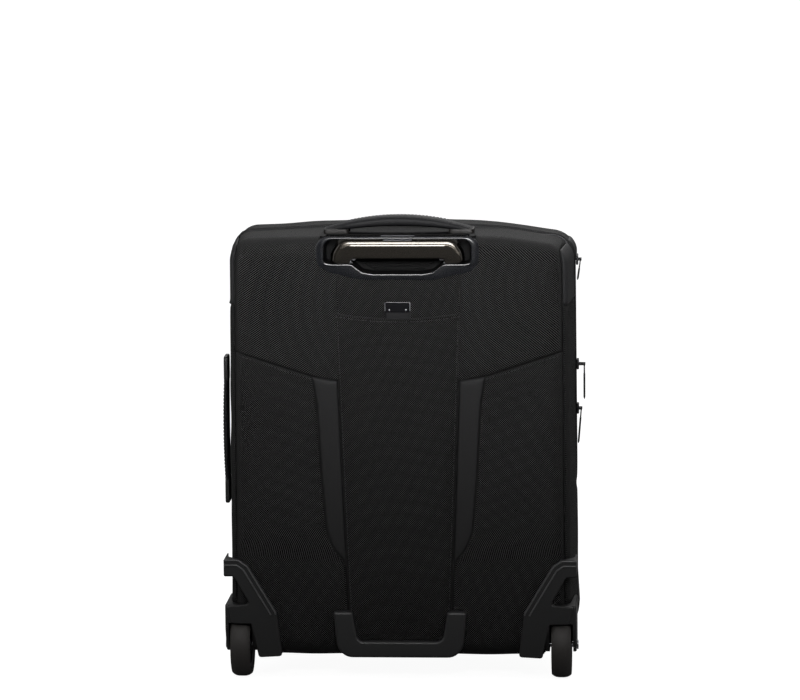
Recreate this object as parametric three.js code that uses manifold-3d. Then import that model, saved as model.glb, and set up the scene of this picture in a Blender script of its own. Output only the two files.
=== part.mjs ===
// A softside upright cabin suitcase on two wheels, with a telescopic pull handle.
// Millimetres. +Z is up and the floor is z = 0. The back, with the wheels and the pull handle, faces -Y, and
// the front pockets face +Y. The origin lies on the floor under the middle of the case.

import * as THREE from "three";
import { mergeVertices } from "three/addons/utils/BufferGeometryUtils.js";
import Module from "manifold-3d";

const wasm = await Module();
wasm.setup();

// ---- Driving dimensions ----

const GAP = 0.3; // clearance between neighbouring pieces

// The soft case: a tub with its closed side at the back, and a lid at the front.
const BODY_TOP = 513;
const BODY_BOTTOM = 28;
const TOP_HALF_WIDTH = 198.5;
const BOTTOM_HALF_WIDTH = 201;
const TOP_CORNER_RADIUS = 26;
const BOTTOM_CORNER_RADIUS = 38;
const CROWN = 3; // how far the top falls from its middle to its corners
const CROWN_RADIUS = 6000;
const SHOULDER_RADIUS = 22; // rounding between the back panel and the sides
const LID_EDGE_RADIUS = 14;
const WALL = 4;
const BACK_WALL = 3;
const SIDE_REACH = 211.5; // how far the side fittings stand out from the middle plane

// Planes across the depth of the case.
const BACK_Y = -87;
const TUB_FRONT_Y = 10;
const GUSSET_Y = [15, 24];
const MAIN_ZIP_Y = [24.3, 27.7];
const LID_BACK_Y = 28;
const LID_FRONT_Y = 91;
const POCKET_FRONT_Y = 96.5;
const FRONT_Y = 100;
const LINING_Y = -64;

// Wheels.
const WHEEL_RADIUS = 38;
const WHEEL_X = [173, 196];
const AXLE_Y = -62;
const AXLE_RADIUS = 3;
const HUB_RADIUS = 28;
const WELL_X = [165.3, 201.8]; // outsides of the two cheeks
const WELL_FRONT_Y = -18.8;
const WELL_TOP = 88.5;

// Pull handle.
const TUBE_X = 60;
const TUBE_Y = -74;
const OUTER_TUBE = { width: 20, depth: 13, wall: 1.2, from: 52.3, to: 478.6 };
const MIDDLE_TUBE = { width: 17, depth: 10, wall: 1.1, from: 54, to: 483 };
const INNER_TUBE = { width: 14.2, depth: 7.2, wall: 1.2, from: 56, to: 493.5 };
const PUSH_ROD = { width: 8, depth: 3, from: 58, to: 499.2 };
const GRIP_TOP = 513.4;
const GRIP_BOTTOM = 490; // underside between the two ends
const GRIP_FOOT = 484.5; // underside of the ends, where the tubes come in
const GRIP_SPLIT = 501;
const GRIP_Y = [-87.5, -68.5];
const CUP_FRONT_Y = -67.5; // inside of the well that the grip sinks into
const BEZEL_Y = [-89.5, -63.3];
const BEZEL_TOP = 514.8;

// Carry handles and address tag.
const CARRY_Y = -45.5;
const SIDE_CARRY_Y = -22;
const SIDE_CARRY_Z = 283;
const TAG_Z = 427.6;
const SKID_TOP = 82; // top of the guard low on the back
const CROSS_SEAM_Z = 419.5; // mouth of the card pocket, at the middle of the back
const CROSS_SEAM_RISE = 6.5; // how much higher the seam is where it meets the centre panel's edges

// Zips.
const MAIN_ZIP_MIDDLE_Y = (MAIN_ZIP_Y[0] + MAIN_ZIP_Y[1]) / 2;
const EXPANSION_ZIP_Y = [10.3, 14.7];

// ---- Geometry helpers ----

const CORNER_STEPS = 5;

// A closed outline through corners [a, b, radius], each rounded to its radius.
function outline(corners, steps = 4) {
  const points = [];
  corners.forEach(([a, b, radius = 0], i) => {
    const corner = new THREE.Vector2(a, b);
    const towards = ([c, d]) => new THREE.Vector2(c, d).sub(corner).normalize();
    const before = towards(corners.at(i - 1));
    const after = towards(corners[(i + 1) % corners.length]);
    if (!radius) {
      points.push(corner);
      return;
    }
    const half = Math.acos(before.dot(after)) / 2;
    const sweep = Math.sign(after.cross(before)) * (Math.PI - 2 * half);
    const centre = before.clone().add(after).setLength(radius / Math.sin(half)).add(corner);
    const start = before.multiplyScalar(radius / Math.tan(half)).add(corner).sub(centre);
    for (let k = 0; k <= steps; k++) {
      const spoke = start.clone().rotateAround(new THREE.Vector2(), (sweep * k) / steps);
      points.push(spoke.add(centre));
    }
  });
  return new THREE.Shape(points);
}

// The same outline on both sides of x = 0, from its right half listed from the top down.
function mirrored(rightHalf, steps) {
  const leftHalf = rightHalf.map(([x, z, radius]) => [-x, z, radius]).reverse();
  return outline([...rightHalf, ...leftHalf], steps);
}

function rectangle([a0, a1], [b0, b1], radius = 0, steps = 3) {
  return outline([[a0, b0, radius], [a1, b0, radius], [a1, b1, radius], [a0, b1, radius]], steps);
}

function withHole(shape, hole) {
  shape.holes.push(hole);
  return shape;
}

// A closed geometry as a solid that can be joined and cut.
function solid(geometry) {
  const bare = geometry.index ? geometry.toNonIndexed() : geometry;
  bare.deleteAttribute("normal");
  bare.deleteAttribute("uv");
  const merged = mergeVertices(bare, 1e-4);
  const vertProperties = merged.attributes.position.array;
  const triVerts = new Uint32Array(merged.index.array);
  return new wasm.Manifold(new wasm.Mesh({ numProp: 3, vertProperties, triVerts }));
}

// A profile extruded from z = 0, with its two end edges rounded.
function extruded(profile, length, edge, edgeSteps) {
  const geometry = new THREE.ExtrudeGeometry(profile, {
    depth: length - 2 * edge,
    bevelEnabled: edge > 0,
    bevelThickness: edge,
    bevelSize: edge,
    bevelOffset: -edge,
    bevelSegments: edgeSteps,
  });
  return geometry.translate(0, 0, edge);
}

// Profiles drawn in (y, z), (x, z) and (x, y), extruded along the remaining axis.
function alongX(profile, [from, to], edge = 0, edgeSteps = 2) {
  const turn = new THREE.Matrix4().makeBasis(
    new THREE.Vector3(0, 1, 0),
    new THREE.Vector3(0, 0, 1),
    new THREE.Vector3(1, 0, 0),
  );
  return solid(extruded(profile, to - from, edge, edgeSteps).applyMatrix4(turn).translate(from, 0, 0));
}

function alongY(profile, [from, to], edge = 0, edgeSteps = 2) {
  return solid(extruded(profile, to - from, edge, edgeSteps).rotateX(Math.PI / 2).translate(0, to, 0));
}

function alongZ(profile, [from, to], edge = 0, edgeSteps = 2) {
  return solid(extruded(profile, to - from, edge, edgeSteps).translate(0, 0, from));
}

function block([x0, x1], [y0, y1], [z0, z1]) {
  const geometry = new THREE.BoxGeometry(x1 - x0, y1 - y0, z1 - z0);
  return solid(geometry.translate((x0 + x1) / 2, (y0 + y1) / 2, (z0 + z1) / 2));
}

// A closed profile of [radius, x] points, turned about an axis along X through (y, z).
function turnedAboutX(profile, y, z, segments = 32) {
  const points = [...profile, profile[0]].map(([radius, x]) => new THREE.Vector2(radius, x));
  const geometry = new THREE.LatheGeometry(points, segments);
  return solid(geometry.rotateZ(-Math.PI / 2).translate(0, y, z));
}

function rod(radius, [from, to], axis, [a, b], segments = 16) {
  const geometry = new THREE.CylinderGeometry(radius, radius, to - from, segments);
  const middle = (from + to) / 2;
  if (axis === "x") return solid(geometry.rotateZ(-Math.PI / 2).translate(middle, a, b));
  return solid(geometry.translate(a, middle, b));
}

const FAR = 400; // beyond every piece, for cutting tools

// The part of a solid that lies between two planes across the depth.
function betweenY(body, from, to) {
  return body.intersect(block([-FAR, FAR], [from, to], [-FAR, 2 * FAR]));
}

// ---- The case ----

// The upright outline of the case in (x, z), drawn in by an inset.
function caseOutline(inset = 0) {
  const top = [TOP_HALF_WIDTH - inset, BODY_TOP - CROWN - inset, TOP_CORNER_RADIUS - inset];
  const bottom = [BOTTOM_HALF_WIDTH - inset, BODY_BOTTOM + inset, BOTTOM_CORNER_RADIUS - inset];
  const left = ([x, z, r]) => [-x, z, r];
  return outline([[0, BODY_TOP - inset, CROWN_RADIUS], left(top), left(bottom), bottom, top], CORNER_STEPS);
}

// A band that follows the case's outline between two insets.
function band(outerInset, innerInset, span) {
  return alongY(withHole(caseOutline(outerInset), caseOutline(innerInset)), span);
}

// The whole outside of the tub, grown by a clearance, as a tool that trims the fittings to it.
function tubOutside(grow = 0) {
  const radius = SHOULDER_RADIUS + grow;
  const long = alongY(caseOutline(-grow), [BACK_Y - grow, TUB_FRONT_Y + radius], radius, 4);
  return betweenY(long, -FAR, TUB_FRONT_Y);
}

function wheelCorner(grow) {
  return block([WELL_X[0] - grow, FAR], [-FAR, WELL_FRONT_Y + grow], [-FAR, WELL_TOP + grow]);
}

// The mirror image of a body in the plane x = 0, with its triangles turned round so that they still face out.
function mirrorX(body) {
  const { vertProperties, triVerts } = body.getMesh();
  const flipped = vertProperties.map((value, i) => (i % 3 === 0 ? -value : value));
  return new wasm.Manifold(
    new wasm.Mesh({ numProp: 3, vertProperties: flipped, triVerts: triVerts.toReversed() }),
  );
}

function bothSides(body) {
  return body.add(mirrorX(body));
}

function tubShell() {
  const radius = SHOULDER_RADIUS - WALL;
  const hollow = alongY(caseOutline(WALL), [BACK_Y + BACK_WALL, TUB_FRONT_Y + 2 * radius], radius, 4);
  return tubOutside()
    .subtract(hollow)
    .subtract(bothSides(wheelCorner(GAP)))
    .subtract(gripWell(GAP));
}

function backBoard() {
  return alongY(rectangle([-158, 158], [66, 460], 12), [BACK_Y + BACK_WALL + GAP, BACK_Y + BACK_WALL + 2]);
}

function dividerLining() {
  return alongY(caseOutline(WALL + 2), [LINING_Y, LINING_Y + 1]).subtract(bothSides(wheelCorner(2)));
}

function openingHoop() {
  return band(WALL + GAP, WALL + 3, [4, 7]);
}

// Half the width of the centre panel at a height: it narrows towards the wheels.
function centreHalfWidth(z) {
  return 56 + 0.041 * z - 0.0000075 * z * z;
}

function centrePanelOutline(bottom, top, sag) {
  const halfTop = centreHalfWidth(top);
  const shape = new THREE.Shape();
  shape.moveTo(-centreHalfWidth(bottom), bottom);
  shape.lineTo(centreHalfWidth(bottom), bottom);
  shape.lineTo(halfTop, top);
  if (sag) shape.quadraticCurveTo(0, top - 2 * sag, -halfTop, top);
  else shape.lineTo(-halfTop, top);
  return shape;
}

const CENTRE_PANEL_Y = BACK_Y - GAP;

// The lower centre panel is sewn over the back, and its open top edge is the mouth of the card pocket.
function lowerCentrePanel() {
  const top = CROSS_SEAM_Z + CROSS_SEAM_RISE;
  const panel = alongY(centrePanelOutline(SKID_TOP + 2, top, CROSS_SEAM_RISE), [CENTRE_PANEL_Y - 3.4, CENTRE_PANEL_Y]);
  return panel.subtract(block([-45, 45], [CENTRE_PANEL_Y - 2.4, FAR], [350, FAR + 100]));
}

function upperCentrePanel() {
  const bottom = CROSS_SEAM_Z + CROSS_SEAM_RISE + GAP;
  const panel = alongY(rectangle([-73, 73], [bottom, 481], 1), [CENTRE_PANEL_Y - 1, CENTRE_PANEL_Y]);
  return panel.subtract(bezelPlate(GAP));
}

// Two webbing straps that hold the clothes down, with a buckle in the middle.
const STRAP_Y = [LINING_Y + 1 + GAP, LINING_Y + 2.6];
const STRAP_Z = [258, 283];

function tieStrap() {
  return block([22, 188], STRAP_Y, STRAP_Z);
}

function tieBuckle() {
  return alongY(rectangle([-21, 21], [254, 287], 5), [STRAP_Y[0], STRAP_Y[0] + 6], 1.5);
}

// ---- Bezel and grip well ----

// The opening for the grip, seen from behind: a wide mouth with a dip for the fingers.
function gripOpening(grow, top) {
  return mirrored([
    [82.6 + grow, top],
    [82.6 + grow, 482 - grow, 8],
    [49, 481 - grow, 8],
    [37, 469.5 - grow, 14],
  ]);
}

function gripWell(grow) {
  return alongY(gripOpening(2 + grow, FAR + 200), [-FAR, CUP_FRONT_Y + 2 + grow]);
}

function bezelOutline(grow) {
  return mirrored([
    [93.6 + grow, BEZEL_TOP + grow, 13],
    [92.8 + grow, 477 - grow, 15],
    [50, 463 - grow, 60],
  ]);
}

function bezelPlate(grow) {
  return alongY(bezelOutline(grow), [BEZEL_Y[0] - grow, BEZEL_Y[1] + grow], 1.2);
}

function tubeHole({ width, depth }, grow, span) {
  const across = [TUBE_X - width / 2 - grow, TUBE_X + width / 2 + grow];
  const through = [TUBE_Y - depth / 2 - grow, TUBE_Y + depth / 2 + grow];
  return alongZ(rectangle(across, through, 3, 2), span);
}

// One moulding: the rim on the back and top of the case, and the well that the grip sinks into.
function handleBezel() {
  const well = alongY(gripOpening(2, BEZEL_TOP - 2), [BACK_Y, CUP_FRONT_Y + 2]);
  const rim = bezelPlate(0).subtract(tubOutside(GAP));
  const mouth = alongY(gripOpening(0, FAR + 200), [-FAR, CUP_FRONT_Y]);
  const tubes = bothSides(tubeHole(MIDDLE_TUBE, 0.5, [460, 500]));
  return rim.add(well).subtract(mouth).subtract(tubes);
}

// ---- Pull handle ----

function roundedTube({ width, depth, wall, from, to }) {
  const ring = (inset, radius) =>
    rectangle(
      [TUBE_X - width / 2 + inset, TUBE_X + width / 2 - inset],
      [TUBE_Y - depth / 2 + inset, TUBE_Y + depth / 2 - inset],
      radius,
      2,
    );
  return alongZ(withHole(ring(0, 3), ring(wall, 3 - wall)), [from, to]);
}

function tubeFootBracket() {
  const bar = block([-76, 76], [-82.5, -65.5], [48, 60]);
  return bar.subtract(bothSides(tubeHole(OUTER_TUBE, GAP, [52, 70])));
}

function pushRod() {
  const { width, depth, from, to } = PUSH_ROD;
  return block([TUBE_X - width / 2, TUBE_X + width / 2], [TUBE_Y - depth / 2, TUBE_Y + depth / 2], [from, to]);
}

function gripSolid() {
  const side = [
    [73, GRIP_TOP, 20],
    [76.5, GRIP_FOOT, 5],
    [51.5, GRIP_FOOT, 5],
    [47, GRIP_BOTTOM, 5],
  ];
  return alongY(mirrored(side), GRIP_Y, 4, 3);
}

const BUTTON_LOW = 507.6; // underside of the button's cap
const BUTTON_TRAVEL = 4;

// The upper half of the grip, hollow underneath, with a slot for the release button.
function gripUpperShell() {
  const hollow = block([-68, 68], [-83, -71], [GRIP_SPLIT - 1, 503.4])
    .add(block([-56, 56], [-83, -71], [GRIP_SPLIT - 1, 507]));
  const slot = block([-19, 19], [-FAR, -72], [BUTTON_LOW - BUTTON_TRAVEL - 0.4, FAR + 200]);
  const upper = gripSolid().intersect(block([-FAR, FAR], [-FAR, FAR], [GRIP_SPLIT + 0.15, 2 * FAR]));
  return upper.subtract(hollow).subtract(slot);
}

// The lower half, with the ends of the inner tubes in its floor.
function gripLowerShell() {
  const hollow = block([-68, 68], [-83, -71], [494, GRIP_SPLIT + 1]);
  const sockets = bothSides(tubeHole(INNER_TUBE, GAP, [GRIP_FOOT - 2, 495]));
  const lower = gripSolid().intersect(block([-FAR, FAR], [-FAR, FAR], [0, GRIP_SPLIT - 0.15]));
  return lower.subtract(hollow).subtract(sockets);
}

// The button's cap follows the grip, and its crossbar reaches over both push rods.
function releaseButton() {
  const cap = gripSolid().intersect(block([-18.5, 18.5], [-FAR, -72.5], [BUTTON_LOW, FAR + 200]));
  const stem = block([-17, 17], [-82.5, -73], [500, BUTTON_LOW + 1]);
  const crossbar = block([-65, 65], [-80, -71], [PUSH_ROD.to + GAP, 503]);
  return cap.add(stem).add(crossbar);
}

// ---- Wheels ----

// The moulding at a lower back corner: an arm along the back panel, a leg beside the wheel and a beam over it.
function housingOutline() {
  return outline([
    [202.5, 142, 1.5],
    [185, 142, 3],
    [174.6, 134.5, 3],
    [142, 80, 6],
    [136, 29, 3],
    [163, 27.5, 3],
    [171.6, 66.5, 2],
    [194, 67, 4],
    [198.5, 87.5, 2],
    [172.6, 89.5, 3],
    [190.5, 122, 3],
    [202.5, 122, 1.5],
  ], 2);
}

function wheelHousing() {
  const back = alongY(housingOutline(), [BACK_Y - 7, -52], 1.2, 1).subtract(tubOutside(GAP));
  const cheek = outline([
    [-90, WELL_TOP, 3],
    [-90, 60, 10],
    [-77, 31, 12],
    [WELL_FRONT_Y, 33, 3],
    [WELL_FRONT_Y, WELL_TOP, 3],
  ], 3);
  const well = alongX(cheek, WELL_X, 1, 1);
  const clear = [WHEEL_X[0] - 2, WHEEL_X[1] + 2];
  const round = rod(WHEEL_RADIUS + 2.5, clear, "x", [AXLE_Y, WHEEL_RADIUS], 32);
  const below = block(clear, [-FAR, AXLE_Y + WHEEL_RADIUS + 2.5], [-FAR, WHEEL_RADIUS]);
  const hole = rod(AXLE_RADIUS + GAP, [0, FAR], "x", [AXLE_Y, WHEEL_RADIUS]);
  return back.add(well).subtract(round).subtract(below).subtract(hole);
}

function axle() {
  const headX = WELL_X[1] + GAP;
  const shaft = rod(AXLE_RADIUS, [WELL_X[0] + 0.5, headX + 1], "x", [AXLE_Y, WHEEL_RADIUS]);
  return shaft.add(rod(5.5, [headX, headX + 1.7], "x", [AXLE_Y, WHEEL_RADIUS]));
}

function tyre() {
  const [inner, outer] = WHEEL_X;
  const shoulder = WHEEL_RADIUS - 3.5;
  return turnedAboutX([
    [HUB_RADIUS + 0.2, inner + 1],
    [shoulder, inner],
    [WHEEL_RADIUS - 0.8, inner + 4],
    [WHEEL_RADIUS, inner + 9],
    [WHEEL_RADIUS, outer - 9],
    [WHEEL_RADIUS - 0.8, outer - 4],
    [shoulder, outer],
    [HUB_RADIUS + 0.2, outer - 1],
  ], AXLE_Y, WHEEL_RADIUS);
}

function wheelHub() {
  const [inner, outer] = WHEEL_X;
  return turnedAboutX([
    [AXLE_RADIUS + 0.25, inner + 1],
    [8, inner + 1],
    [10, inner + 4],
    [24, inner + 4],
    [25.5, inner + 1],
    [HUB_RADIUS, inner + 1],
    [HUB_RADIUS, outer - 1],
    [25.5, outer - 1],
    [24, outer - 4],
    [10, outer - 4],
    [8, outer - 1],
    [AXLE_RADIUS + 0.25, outer - 1],
  ], AXLE_Y, WHEEL_RADIUS);
}

// ---- Skid and feet ----

function rearSkid() {
  const shape = mirrored([[77, SKID_TOP, 3], [71, BODY_BOTTOM, 22]]);
  const inside = mirrored([[54.5, FAR], [48, 47.5, 9]]);
  const bar = alongY(shape, [BACK_Y - 10, -66], 2);
  return bar.subtract(alongY(inside, [-FAR, FAR])).subtract(tubOutside(GAP));
}

// A foot under the front edge of the lid.
function frontFoot() {
  const profile = outline([[64, 44], [70, 0, 2], [84, 0, 2], [88, 44]], 2);
  const lid = alongY(caseOutline(-GAP), [LID_BACK_Y, LID_FRONT_Y + GAP], LID_EDGE_RADIUS + GAP, 3);
  return alongX(profile, [137, 162], 1.5).subtract(lid);
}

// ---- Carry handles ----

// A padded handle bar on two flat strap ends, in (x, z), lying along x with its ends at z = 0.
function carryHandle(halfLength, padHalf, padHeight, padThickness, padWidth, strapWidth) {
  const top = padHeight + padThickness;
  const strap = mirrored([
    [padHalf - 6, top - 1, 10],
    [padHalf + 8, 3.6, 8],
    [halfLength, 2.8, 1],
    [halfLength, 0, 1],
    [padHalf + 3, 0, 6],
    [padHalf - 6, padHeight + 1, 8],
  ], 3);
  const round = 0.42 * padThickness;
  const pad = mirrored([[padHalf, top, round], [padHalf, padHeight, round]], 3);
  const bar = alongY(strap, [-strapWidth / 2, strapWidth / 2]);
  return bar.add(alongY(pad, [-padWidth / 2, padWidth / 2], round - 0.3, 3));
}

// A shallow tray that holds one strap end: closed outside, open towards the handle and upwards.
function handleBase(from, to, width, height, strapWidth) {
  const tray = alongZ(rectangle([from, to], [-width / 2, width / 2], 5), [0, height], 1.2);
  return tray.subtract(block([-FAR, to - 2.5], [-strapWidth / 2 - 0.5, strapWidth / 2 + 0.5], [0.8, FAR]));
}

const TOP_CARRY = { half: 83, pad: 57, width: 33, strap: 24 };
const SIDE_CARRY = { half: 82, pad: 56, width: 29, strap: 22 };

// ---- Expansion, main zip and lid ----

function expansionGusset() {
  const rim = band(0, WALL + 5.5, GUSSET_Y);
  const sleeve = band(WALL + 4, WALL + 5.5, [WELL_FRONT_Y + 0.8, GUSSET_Y[1]]);
  return rim.add(sleeve);
}

const HINGE_SPAN = [60, 480];

// The zip runs round the top, the right and the bottom; the left edge is the fabric hinge.
function mainZip() {
  return band(0.5, 5, MAIN_ZIP_Y).subtract(block([-FAR, 0], [0, FAR], HINGE_SPAN));
}

function hingeStrip() {
  const [low, high] = HINGE_SPAN;
  const strip = band(0.5, 2.5, MAIN_ZIP_Y);
  return strip.intersect(block([-FAR, 0], [0, FAR], [low + GAP, high - GAP]));
}

function lidShell() {
  const outside = alongY(caseOutline(), [LID_BACK_Y - 2 * LID_EDGE_RADIUS, LID_FRONT_Y], LID_EDGE_RADIUS, 3);
  const radius = LID_EDGE_RADIUS - WALL;
  const hollow = alongY(caseOutline(WALL), [LID_BACK_Y - 3 * radius, LID_FRONT_Y - BACK_WALL], radius, 3);
  return betweenY(outside, LID_BACK_Y, FAR).subtract(hollow);
}

function lidLining() {
  return alongY(caseOutline(WALL + 1), [LID_BACK_Y + 3, LID_BACK_Y + 4]);
}

function pocketPanel(halfWidth, height) {
  return alongY(rectangle([-halfWidth, halfWidth], [0, height], 14), [LID_FRONT_Y + GAP, POCKET_FRONT_Y], 2);
}

// ---- Zip sliders and pullers ----

// A slider lies at the origin with its face towards +X, and carries its puller on a pin along Y.
const SLIDER = { half: 4.5, length: 13, thickness: 2.6 };
const PIN_RADIUS = 0.9;
const EYE = { inner: 1.2, outer: 2.2, half: 2.4 };

function zipSlider(pinHeight) {
  const { half, length, thickness } = SLIDER;
  const body = alongX(rectangle([-half, half], [-length / 2, length / 2], 2, 2), [0, thickness], 0.7, 1);
  const near = EYE.half + GAP;
  const far = EYE.half + 1.6;
  const post = (span) => block([1, pinHeight + 1.2], span, [-1.5, 1.5]);
  const pin = rod(PIN_RADIUS, [0.1 - far, far - 0.1], "y", [pinHeight, 0], 12);
  return body.add(post([near, far])).add(post([-far, -near])).add(pin);
}

function zipPuller(pinHeight, length) {
  const { inner, outer, half } = EYE;
  const eye = rod(outer, [-half, half], "y", [pinHeight, 0], 14);
  const tab = outline([
    [-half, -1.4],
    [-half, -6, 2],
    [-4.3, -11, 3],
    [-4.3, -length, 3],
    [4.3, -length, 3],
    [4.3, -11, 3],
    [half, -6, 2],
    [half, -1.4],
  ], 2);
  const blade = alongX(tab, [pinHeight - 0.9, pinHeight + 0.9]);
  return eye.add(blade).subtract(rod(inner, [-FAR, FAR], "y", [pinHeight, 0], 14));
}

const LOW_PIN = 5.2;
const HIGH_PIN = SIDE_REACH - 200.5 - EYE.outer;

// ---- Materials ----

function look(color, roughness, metalness = 0) {
  return new THREE.MeshStandardMaterial({ color, roughness, metalness });
}

const LOOKS = {
  fabric: look(0x29292c, 0.92),
  trim: look(0x3a3b3f, 0.6),
  moulding: look(0x151517, 0.42),
  grip: look(0x4a4847, 0.28, 0.7),
  aluminium: look(0x9a9ca0, 0.3, 0.9),
  steel: look(0x8d8f94, 0.3, 0.95),
  zip: look(0x17171a, 0.7),
  zipMetal: look(0x3c3d42, 0.3, 0.8),
  tyre: look(0x2b2826, 0.75),
  hub: look(0x242428, 0.5),
  lining: look(0x4b4c52, 0.85),
  board: look(0x0f0f10, 0.6),
  webbing: look(0x1d1d20, 0.85),
  gloss: look(0x0c0c0f, 0.15),
  card: look(0xe8e6df, 0.8),
};

// ---- Assembly ----

function piece(name, body, material) {
  const { vertProperties, triVerts } = body.getMesh();
  const geometry = new THREE.BufferGeometry();
  geometry.setAttribute("position", new THREE.BufferAttribute(vertProperties, 3));
  geometry.setIndex(new THREE.BufferAttribute(triVerts, 1));
  geometry.computeVertexNormals();
  const mesh = new THREE.Mesh(geometry, material);
  mesh.name = name;
  return mesh;
}

// A piece on the right side of the case and its mirror image on the left.
function pair(name, body, material) {
  const left = piece(name + "_left", body, material);
  left.scale.x = -1;
  return [piece(name + "_right", body, material), left];
}

function group(pieces, position = [0, 0, 0], rotation = [0, 0, 0]) {
  const made = new THREE.Group();
  made.add(...pieces.flat());
  made.position.set(...position);
  made.rotation.set(...rotation);
  return made;
}

// A slider with its puller, placed on a zip. The rotation turns the +X face to the zip's outward side.
function sliderSet(prefix, pinHeight, pullerLength, position, rotation) {
  return group([
    piece(prefix + "_slider", zipSlider(pinHeight), LOOKS.zipMetal),
    piece(prefix + "_puller", zipPuller(pinHeight, pullerLength), LOOKS.zipMetal),
  ], position, rotation);
}

function caseBody() {
  return group([
    piece("tub_shell", tubShell(), LOOKS.fabric),
    piece("back_board", backBoard(), LOOKS.board),
    piece("upper_centre_panel", upperCentrePanel(), LOOKS.fabric),
    piece("lower_centre_panel", lowerCentrePanel(), LOOKS.fabric),
    piece("divider_lining", dividerLining(), LOOKS.lining),
    piece("opening_hoop", openingHoop(), LOOKS.steel),
    pair("tie_strap", tieStrap(), LOOKS.webbing),
    piece("tie_buckle", tieBuckle(), LOOKS.moulding),
    piece("expansion_zip", band(1, 7.5, EXPANSION_ZIP_Y), LOOKS.zip),
    piece("rear_skid", rearSkid(), LOOKS.moulding),
    pair("front_foot", frontFoot(), LOOKS.moulding),
  ]);
}

function pullHandle() {
  return group([
    piece("handle_bezel", handleBezel(), LOOKS.moulding),
    pair("outer_tube", roundedTube(OUTER_TUBE), LOOKS.aluminium),
    pair("middle_tube", roundedTube(MIDDLE_TUBE), LOOKS.aluminium),
    pair("inner_tube", roundedTube(INNER_TUBE), LOOKS.aluminium),
    piece("tube_foot_bracket", tubeFootBracket(), LOOKS.board),
    piece("grip_upper_shell", gripUpperShell(), LOOKS.grip),
    piece("grip_lower_shell", gripLowerShell(), LOOKS.grip),
    piece("release_button", releaseButton(), LOOKS.grip),
    pair("push_rod", pushRod(), LOOKS.steel),
  ]);
}

function wheels() {
  return group([
    pair("wheel_housing", wheelHousing(), LOOKS.moulding),
    pair("axle", axle(), LOOKS.steel),
    pair("tyre", tyre(), LOOKS.tyre),
    pair("wheel_hub", wheelHub(), LOOKS.hub),
  ]);
}

function topCarryHandle() {
  const { half, pad, width, strap } = TOP_CARRY;
  const bases = group([pair("carry_handle_base", handleBase(pad, 86, width + 1.4, 6, strap), LOOKS.moulding)]);
  const handle = group([piece("top_carry_handle", carryHandle(half, pad, 8.5, 10.5, width, strap), LOOKS.trim)]);
  bases.position.set(0, CARRY_Y, BODY_TOP + GAP);
  handle.position.set(0, CARRY_Y, BODY_TOP + 1.7);
  return group([bases, handle]);
}

// The same design turned to lie along the left side, facing out.
function sideCarryHandle() {
  const { half, pad, width, strap } = SIDE_CARRY;
  const standOff = 200.6;
  const handleAt = 1.5;
  const padHeight = 2.6;
  const thickness = SIDE_REACH - standOff - handleAt - padHeight;
  const baseBody = handleBase(pad, 86, width, 4.6, strap);
  const bases = [
    piece("side_handle_base_upper", baseBody, LOOKS.moulding),
    piece("side_handle_base_lower", baseBody, LOOKS.moulding),
  ];
  bases[1].scale.x = -1;
  const handle = piece("side_carry_handle", carryHandle(half, pad, padHeight, thickness, width, strap), LOOKS.trim);
  handle.position.z = handleAt;
  const turn = [0, -Math.PI / 2, 0];
  return group([bases, handle], [-standOff, SIDE_CARRY_Y, SIDE_CARRY_Z], turn);
}

function addressTag() {
  const sheet = [CENTRE_PANEL_Y - 1.9, CENTRE_PANEL_Y - 1.3];
  const tabTop = TAG_Z + 11.4;
  const cardTop = CROSS_SEAM_Z - 6;
  const plate = alongY(rectangle([-15.2, 15.2], [TAG_Z, TAG_Z + 12], 1.5), [CENTRE_PANEL_Y - 3.9, sheet[0] - GAP], 0.5, 1);
  return group([
    piece("tag_tab", block([-14.5, 14.5], sheet, [cardTop + GAP, tabTop]), LOOKS.trim),
    piece("tag_plate", plate, LOOKS.gloss),
    piece("address_card", block([-42, 42], sheet, [354, cardTop]), LOOKS.card),
  ]);
}

function front() {
  const lowerZ = 62;
  const lowerHeight = 224;
  const upperZ = 303;
  const upperHeight = 172;
  const toFront = [0, 0, Math.PI / 2];
  const zipY = LID_FRONT_Y + GAP;
  const inset = 9;
  const pocketPin = FRONT_Y - EYE.outer - zipY;
  return group([
    piece("expansion_gusset", expansionGusset(), LOOKS.fabric),
    piece("main_zip", mainZip(), LOOKS.zip),
    piece("hinge_strip", hingeStrip(), LOOKS.fabric),
    piece("lid_shell", lidShell(), LOOKS.fabric),
    piece("lid_lining", lidLining(), LOOKS.lining),
    group([piece("upper_pocket_panel", pocketPanel(166, upperHeight), LOOKS.fabric)], [0, 0, upperZ]),
    group([piece("lower_pocket_panel", pocketPanel(176, lowerHeight), LOOKS.fabric)], [0, 0, lowerZ]),
    sliderSet("main_upper", HIGH_PIN, 41, [200.5, MAIN_ZIP_MIDDLE_Y, 352], [0, 0, 0]),
    sliderSet("main_lower", LOW_PIN, 41, [200.5, MAIN_ZIP_MIDDLE_Y, 300], [0, 0, 0]),
    sliderSet("expansion", LOW_PIN, 24, [200.3, 12.5, 476], [0, 0, 0]),
    sliderSet("upper_pocket", pocketPin, 30, [-148, zipY, upperZ + upperHeight + inset], toFront),
    sliderSet("lower_pocket", pocketPin, 30, [-148, zipY, lowerZ + lowerHeight + inset - 1], toFront),
  ]);
}

export default group([
  caseBody(),
  pullHandle(),
  wheels(),
  topCarryHandle(),
  sideCarryHandle(),
  addressTag(),
  front(),
]);
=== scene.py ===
"""Looks of a softside upright suitcase on two wheels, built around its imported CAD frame.

Sizes are in millimetres unless a name says otherwise, and mesh builders turn them into metres.
The back, with the wheels and the pull handle, faces -Y, the front pockets face +Y, and +Z is up.
"""

import math

import bmesh
import bpy
import numpy as np
from mathutils import Matrix, Vector
from mathutils.geometry import tessellate_polygon


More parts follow.
